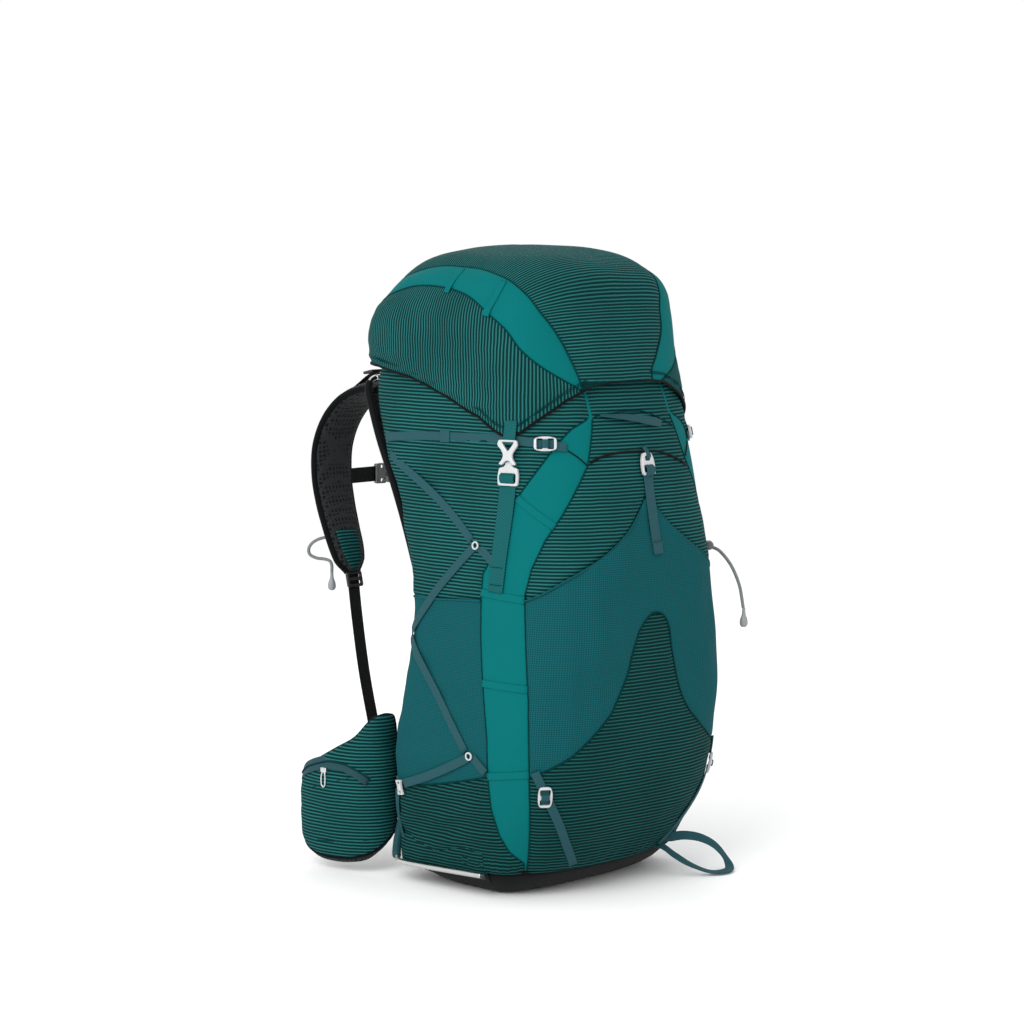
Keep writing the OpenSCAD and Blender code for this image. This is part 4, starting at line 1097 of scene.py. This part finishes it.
def strap_frames():
    line = smooth(STRAP, 7)
    P, w = line[:, :3], line[:, 3]
    d = along(P)
    u = unit(np.array([1.0, 0, 0]) - d * d[:, :1])
    return P, w, u, np.cross(d, u)


def strap_rings(P, w, u, v, grow=0.0, low=0.0, high=1.0, inset=0.0):
    s = np.linspace(0, 1, len(P))
    a = np.linspace(0, 2 * math.pi, 40, endpoint=False)
    rings = []
    for p, width, x, y, k in zip(P, w, u, v, s):
        tip = 1 - 0.45 * ease(0.93, 1.0, k)
        thin = 1 - 0.4 * ease(0.04, 0, k) - 0.35 * ease(0.94, 1.0, k)
        r = (np.abs(np.cos(a)) ** 3 + np.abs(np.sin(a)) ** 2.3) ** (-1 / 2.6)
        rings.append(p + np.outer(r * np.cos(a) * (width / 2 * tip - inset), x)
                     + np.outer(r * np.sin(a) * (STRAP_T / 2 * thin + grow), y))
    keep = (s >= low) & (s <= high)
    return np.array(rings)[keep]


for name, s in SIDES:
    P, w, u, v = strap_frames()
    body = "strap_" + name
    V, F = loft(mirrored(strap_rings(P, w, u, v), s))
    o = mesh("shoulder_strap_" + name + "_pad", V, F, "air_mesh", body, closed=True, cad="shoulder_strap_" + name)
    R = mirrored(strap_rings(P, w, u, v, 0.9, 0.80, 0.985, 3.4), s)
    V, F = loft(R)
    run = np.repeat(lengths(R.mean(1))[:, None], 40, 1).ravel()
    mesh("strap_patch_" + name, V, F, "striped_fabric", body, {"stripe": run, "cross": V[:, 0]}, closed=True)
    tip = 1 - 0.45 * ease(0.93, 1.0, np.linspace(0, 1, len(P)))
    for k, e in enumerate((-1, 1)):
        Q = P + u * (e * (w / 2 * tip - 1.2))[:, None]
        tube(f"strap_binding_{name}_{k}", mirrored(Q, s), 4.0, "black_piping", body, 10)
    Q = P[6:52] - v[6:52] * (STRAP_T / 2 + 0.9)
    ribbon("strap_webbing_" + name, mirrored(Q, s), mirrored(v[6:52], s), 20, 1.5, "black_webbing", body)
    P = smooth([[66, 222, 566], [68, 240, 564], [71, 256, 553], [74, 270, 542]], 8)
    ribbon("load_lifter_" + name + "_web", mirrored(P, s), [0, 0.4, 1], 14, 1.5, "black_webbing", body,
           cad="load_lifter_" + name)
    ladder = (np.array([[s * 1.0, 0, 0], [0, .978, -.208], [0, .208, .978]]).T, np.array([s * 68.0, 240, 565.6]))
    plate("load_lifter_lock_" + name, [rounded(slab(19, 16), 2.4), rounded(slab(14, 3.6, 0, 3.6), 1.4),
                                       rounded(slab(14, 3.6, 0, -3.6), 1.4)], 3.2, ladder, "dark_buckle",
          body, 0.8)
    P = smooth([[97, 247, 341], [101, 236, 290], [107, 218, 225], [113, 197, 168], [117, 182, 132],
                [118, 176, 118]], 10)
    o = ribbon("lower_webbing_" + name + "_web", mirrored(P, s), [0, 1, 0.3], 18, 1.5, "black_webbing", None,
               cad="lower_webbing_" + name)
    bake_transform(o)
    lower = (np.array([[s * 1.0, 0, 0], [0, .22, .975], [0, -.975, .22]]).T, np.array([s * 97.5, 244.5, 327]))
    plate("strap_lock_" + name, [rounded(slab(24, 18), 3), rounded(slab(18, 3.8, 0, 4), 1.4),
                                 rounded(slab(18, 3.8, 0, -3.6), 1.4)], 3.4, lower, "dark_buckle", body, 0.9)

# --- Sternum strap ---
STERNUM_Z = 442.0
for name, s in SIDES:
    x = np.linspace(s * 59, s * 17, 14)
    P = np.stack([x, 290.0 + 0.5 * np.sin(np.linspace(0, 3, 14)), np.full(14, STERNUM_Z)], 1)
    ribbon("sternum_web_" + name, P, [0, 1, 0], 18, 1.5, "black_webbing", "sternum_" + name,
           slot="dark_buckle", cad="sternum_strap_" + name)
front_on = np.array([[1.0, 0, 0], [0, 0, 1], [0, -1, 0]]).T
plate("sternum_socket", [rounded([[-17, -12], [-3, -12], [-0.6, -9], [-0.6, 9], [-3, 12], [-17, 12]], 3),
                         rounded(slab(3.4, 17, -14, 0), 1.2), rounded(slab(7, 4.4, -6, 8.4), 1.6),
                         rounded(slab(7, 4.4, -6, -8.4), 1.6)],
      6.0, (front_on, np.array([0, 293.0, STERNUM_Z])), "mid_plastic", "sternum_left", 1.4)
plate("sternum_clip", [rounded([[-4, -3], [3, -6], [3, -12], [17, -12], [17, 12], [3, 12], [3, 6], [-4, 3]], 2),
                       rounded(slab(3.4, 17, 13.6, 0), 1.2)],
      5.4, (front_on, np.array([0.4, 292.7, STERNUM_Z])), "mid_plastic", "sternum_clip", 1.2,
      slot="dark_buckle", cad="sternum_buckle")

# --- Hipbelt ---
WING = np.array([[119, 160, 44, 180, 8], [132, 161, 32, 182, 10], [146, 167, 20, 176, 11],
                 [156, 182, 14, 156, 12], [162, 205, 12, 142, 12], [164, 230, 14, 128, 11],
                 [162, 250, 22, 115, 9], [159, 261, 38, 104, 5]], float)


def wing_surface(k, a, grow=0.0):
    """Points of the right wing: k along its stations from 0 to 1, a round its section, 0 outwards."""
    line = smooth(WING, 12)
    i = k * (len(line) - 1)
    c = np.stack([np.interp(i, np.arange(len(line)), line[:, j]) for j in range(5)], -1)
    e = np.stack([np.interp(i, np.arange(len(line)), g) for g in np.gradient(line[:, :2], axis=0).T], -1)
    out = unit(np.stack([e[..., 1], -e[..., 0], 0 * e[..., 0]], -1))
    n = 2.7
    cos, sin = np.cos(np.radians(a)), np.sin(np.radians(a))
    r = (np.abs(cos) ** n + np.abs(sin) ** n) ** (-1 / n)
    half = (c[..., 3] - c[..., 2]) / 2
    middle = np.stack([c[..., 0], c[..., 1], (c[..., 2] + c[..., 3]) / 2], -1)
    P = middle + out * ((c[..., 4] + grow) * r * cos)[..., None] + UP * ((half + grow) * r * sin)[..., None]
    return P, out


def wing_side(name, s, low, high, look, puff, piece, cad=None):
    k, a = np.meshgrid(np.linspace(0, 1, 110), np.linspace(low, high, 70))
    P, out = wing_surface(k, a)
    N = unit(np.cross(np.gradient(P, axis=1), np.gradient(P, axis=0)))
    N = N * np.sign((N * (P - P.mean((0, 1)))).sum(-1).mean())
    edge = np.minimum(np.abs(a - low), np.abs(a - high)) * 0.9
    away = np.minimum(edge, np.minimum(k, 1 - k) * 150)
    rise = puff * (1 - np.exp(-away / 9)) + folds(P * [1, 1, 1.8], 38, 51) * ease(0, 14, away)
    P = mirrored(P + N * rise[..., None], s)
    F = grid_faces(110, 70)
    o = mesh(f"hipbelt_{name}_{piece}", P, F if s > 0 else F[:, ::-1], look, "belt_" + name,
             {"stripe": P[..., 2], "cross": P[..., 1]}, 1.2, slot=look, cad=cad)
    return o


for name, s in SIDES:
    body = "belt_" + name
    wing_side(name, s, -60, 84, "striped_fabric", 2.6, "outside", "hipbelt_" + name)
    wing_side(name, s, 84, 300, "air_mesh", 1.6, "inside")
    for k, a in enumerate((84, -60)):
        P, _ = wing_surface(np.linspace(0, 1, 70), np.full(70, a), 0.4)
        tube(f"hipbelt_piping_{name}_{k}", mirrored(P, s), 1.6, "black_piping", body, 8)
    for k, end in enumerate((0.0, 1.0)):
        P, _ = wing_surface(np.full(40, end), np.linspace(0, 342, 40), 0.2)
        tube(f"hipbelt_end_{name}_{k}", mirrored(P, s), 1.5, "black_piping", body, 8)
    k = np.linspace(0.3, 0.95, 40)
    P, out = wing_surface(k, np.interp(k, [.3, .38, .46, .6, .8, .95], [10, 23, 34, 46, 55, 58]), 2.9)
    ribbon("hipbelt_zip_tape_" + name, mirrored(P, s), mirrored(out + [0, 0, .55], s), 17, 1.4, "slate_zip", body)
    tube("hipbelt_zip_teeth_" + name, mirrored(P + out * 1.2 + [0, 0, .6], s), 1.0, "dark_thread", body, 6)
    for q, a in enumerate((18, -40)):
        P, _ = wing_surface(np.linspace(0.3, 0.99, 40), a + 6 * np.sin(np.linspace(0, 3, 40)), 1.9)
        tube(f"hipbelt_seam_{name}_{q}", mirrored(P, s), 0.55, "dark_thread", body, 5)
    lo, hi = (np.array(c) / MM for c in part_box("hip_zip_slider_" + name))
    top = np.array([(lo[0] + hi[0]) / 2, (lo[1] + hi[1]) / 2, hi[2] - 3])
    loop = top + np.array([[0, 0, 0], [s * .6, 2.6, -5], [s * .9, 3.2, -11], [s * .9, 2.6, -17], [s * .6, 0, -19.5],
                           [s * .9, -2.6, -17], [s * .9, -3.2, -11], [s * .6, -2.6, -5], [0, 0, 0]])
    tube("hip_zip_pull_" + name, smooth(loop, 6), 0.95, "frame_alloy", "belt_slider_" + name, 8,
         cad="hip_zip_slider_" + name)
    m = (np.array([[0, s * 1.0, 0], [0, 0, 1.0], [s * 1.0, 0, 0]]).T, top - [s * 2.2, 0, 0])
    plate("hip_zip_body_" + name, [rounded(slab(9, 6), 1.6)], 3.6, m, "frame_alloy", "belt_slider_" + name, 0.9)
    lo, hi = (np.array(c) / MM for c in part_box("hip_buckle_" + name))
    mid = (lo + hi) / 2
    P = np.array([[mid[0] + s * 2.2, y, mid[2]] for y in np.linspace(lo[1] + 4, hi[1], 14)])
    ribbon("hip_webbing_" + name, P, [1, 0, 0], 24, 1.6, "black_webbing", body)
    inward = (np.array([[0, -s * 1.0, 0], [0, 0, 1.0], [-s * 1.0, 0, 0]]).T, mid + [s * 0.8, -14, 0])
    plate("hip_buckle_" + name + "_plate",
          [rounded([[-17, -16], [10, -16], [17, -10], [17, 10], [10, 16], [-17, 16]], 4),
           rounded(slab(4, 25, -12, 0), 1.6), rounded(slab(9, 5, 6, 9), 2),
           rounded(slab(9, 5, 6, -9), 2)], 5.0, inward, "dark_buckle", body, 1.4, cad="hip_buckle_" + name)

# --- Lid details ---
for name, s in SIDES:
    for k, (th, inner, outer) in enumerate([(60, 678, 640), (88, 690, 664)]):
        z = np.linspace(inner, outer, 16)
        P = surf(LID, s * (th + (inner - z) * 0.12), z, 2.6)
        ribbon(f"lid_tape_{name}_{k}", P, normal(LID, np.full(16, s * th * 1.0), z), 8, 0.8, "teal_fabric", "lid")
ZIP_Z = 656
zip_th = np.linspace(57, 80, 40)
tube("lid_zip_teeth", surf(LID, zip_th, np.full(40, float(ZIP_Z)), 3.4), 1.0, "black_piping", "lid", 6)
slider = seat(LID, 57, ZIP_Z, 3.2)
plate("lid_zip_slider_body", [rounded(slab(9, 6), 1.8)], 3.2, slider, "dark_buckle", "lid_slider", 0.8,
      cad="lid_zip_slider")
P = laid(slider, [[-3, 0, 2.6], [-6, -3, 2.4], [-7, -8, 1.8], [-6, -12, 1.4]], 5)
ribbon("lid_zip_pull", P, slider[0][:, 2], 3.4, 1.2, "slate_webbing", "lid_slider")
ring = surf(LID, np.linspace(0, 360, 120, endpoint=False), 597.0, -3.2)
rings = [ring * [f, f, 0] + [0, 0, 597.8] + (ring.mean(0) * (1 - f)) * [1, 1, 0] for f in (1, .8, .55, .3, .08)]
V = np.array(rings)
V[..., 2] += 0.5 * folds(V, 60, 61)
mesh("lid_floor_fabric", V, grid_faces(120, 5, True), "lining_fabric", "lid",
     {"stripe": V[..., 1], "cross": V[..., 0]}, 1.0, cad="lid_floor")

# --- Light and floor ---
def area_light(name, place, target, size, power):
    data = bpy.data.lights.new(name, "AREA")
    data.shape, data.size, data.size_y, data.energy = "RECTANGLE", size[0], size[1], power
    o = bpy.data.objects.new(name, data)
    bpy.context.scene.collection.objects.link(o)
    o.location = place
    o.rotation_euler = (Vector(target) - Vector(place)).to_track_quat("-Z", "Y").to_euler()


# Name, place, target, width and height, power in watts
for lamp in (("key", (-2.2, -0.5, 1.7), (0, 0, 0.35), (1.5, 1.5), 38),
             ("fill", (0.6, -2.6, 1.1), (0, 0, 0.3), (1.8, 1.8), 3),
             ("rim", (1.4, 1.6, 1.7), (0, 0, 0.45), (1.4, 1.4), 8)):
    area_light(*lamp)
bpy.context.scene.view_settings.view_transform = "Standard"
world = bpy.data.worlds.new("studio")
bpy.context.scene.world = world
world.use_nodes = True
world.node_tree.nodes["Background"].inputs["Color"].default_value = (1, 1, 1, 1)
world.node_tree.nodes["Background"].inputs["Strength"].default_value = 1.0
pale = Look("floor", (250, 250, 250), rough=0.9, specular=0.0)
clouds = pale.between(pale.noise(3.0), 0.3, 0.7, 0.0, 0.02)
pale.paint(pale.mix(clouds, linear((254, 254, 254), 1.0), linear((252, 252, 252), 1.0)))
LOOKS["floor"] = pale.material
FLOOR_Z = -0.2
span = np.linspace(-6000, 6000, 13)
fx, fy = np.meshgrid(span, span)
floor = mesh("floor", np.stack([fx, fy, np.full(fx.shape, FLOOR_Z)], -1), grid_faces(13, 13), "floor", None)
for p in floor.data.polygons:
    p.use_smooth = False
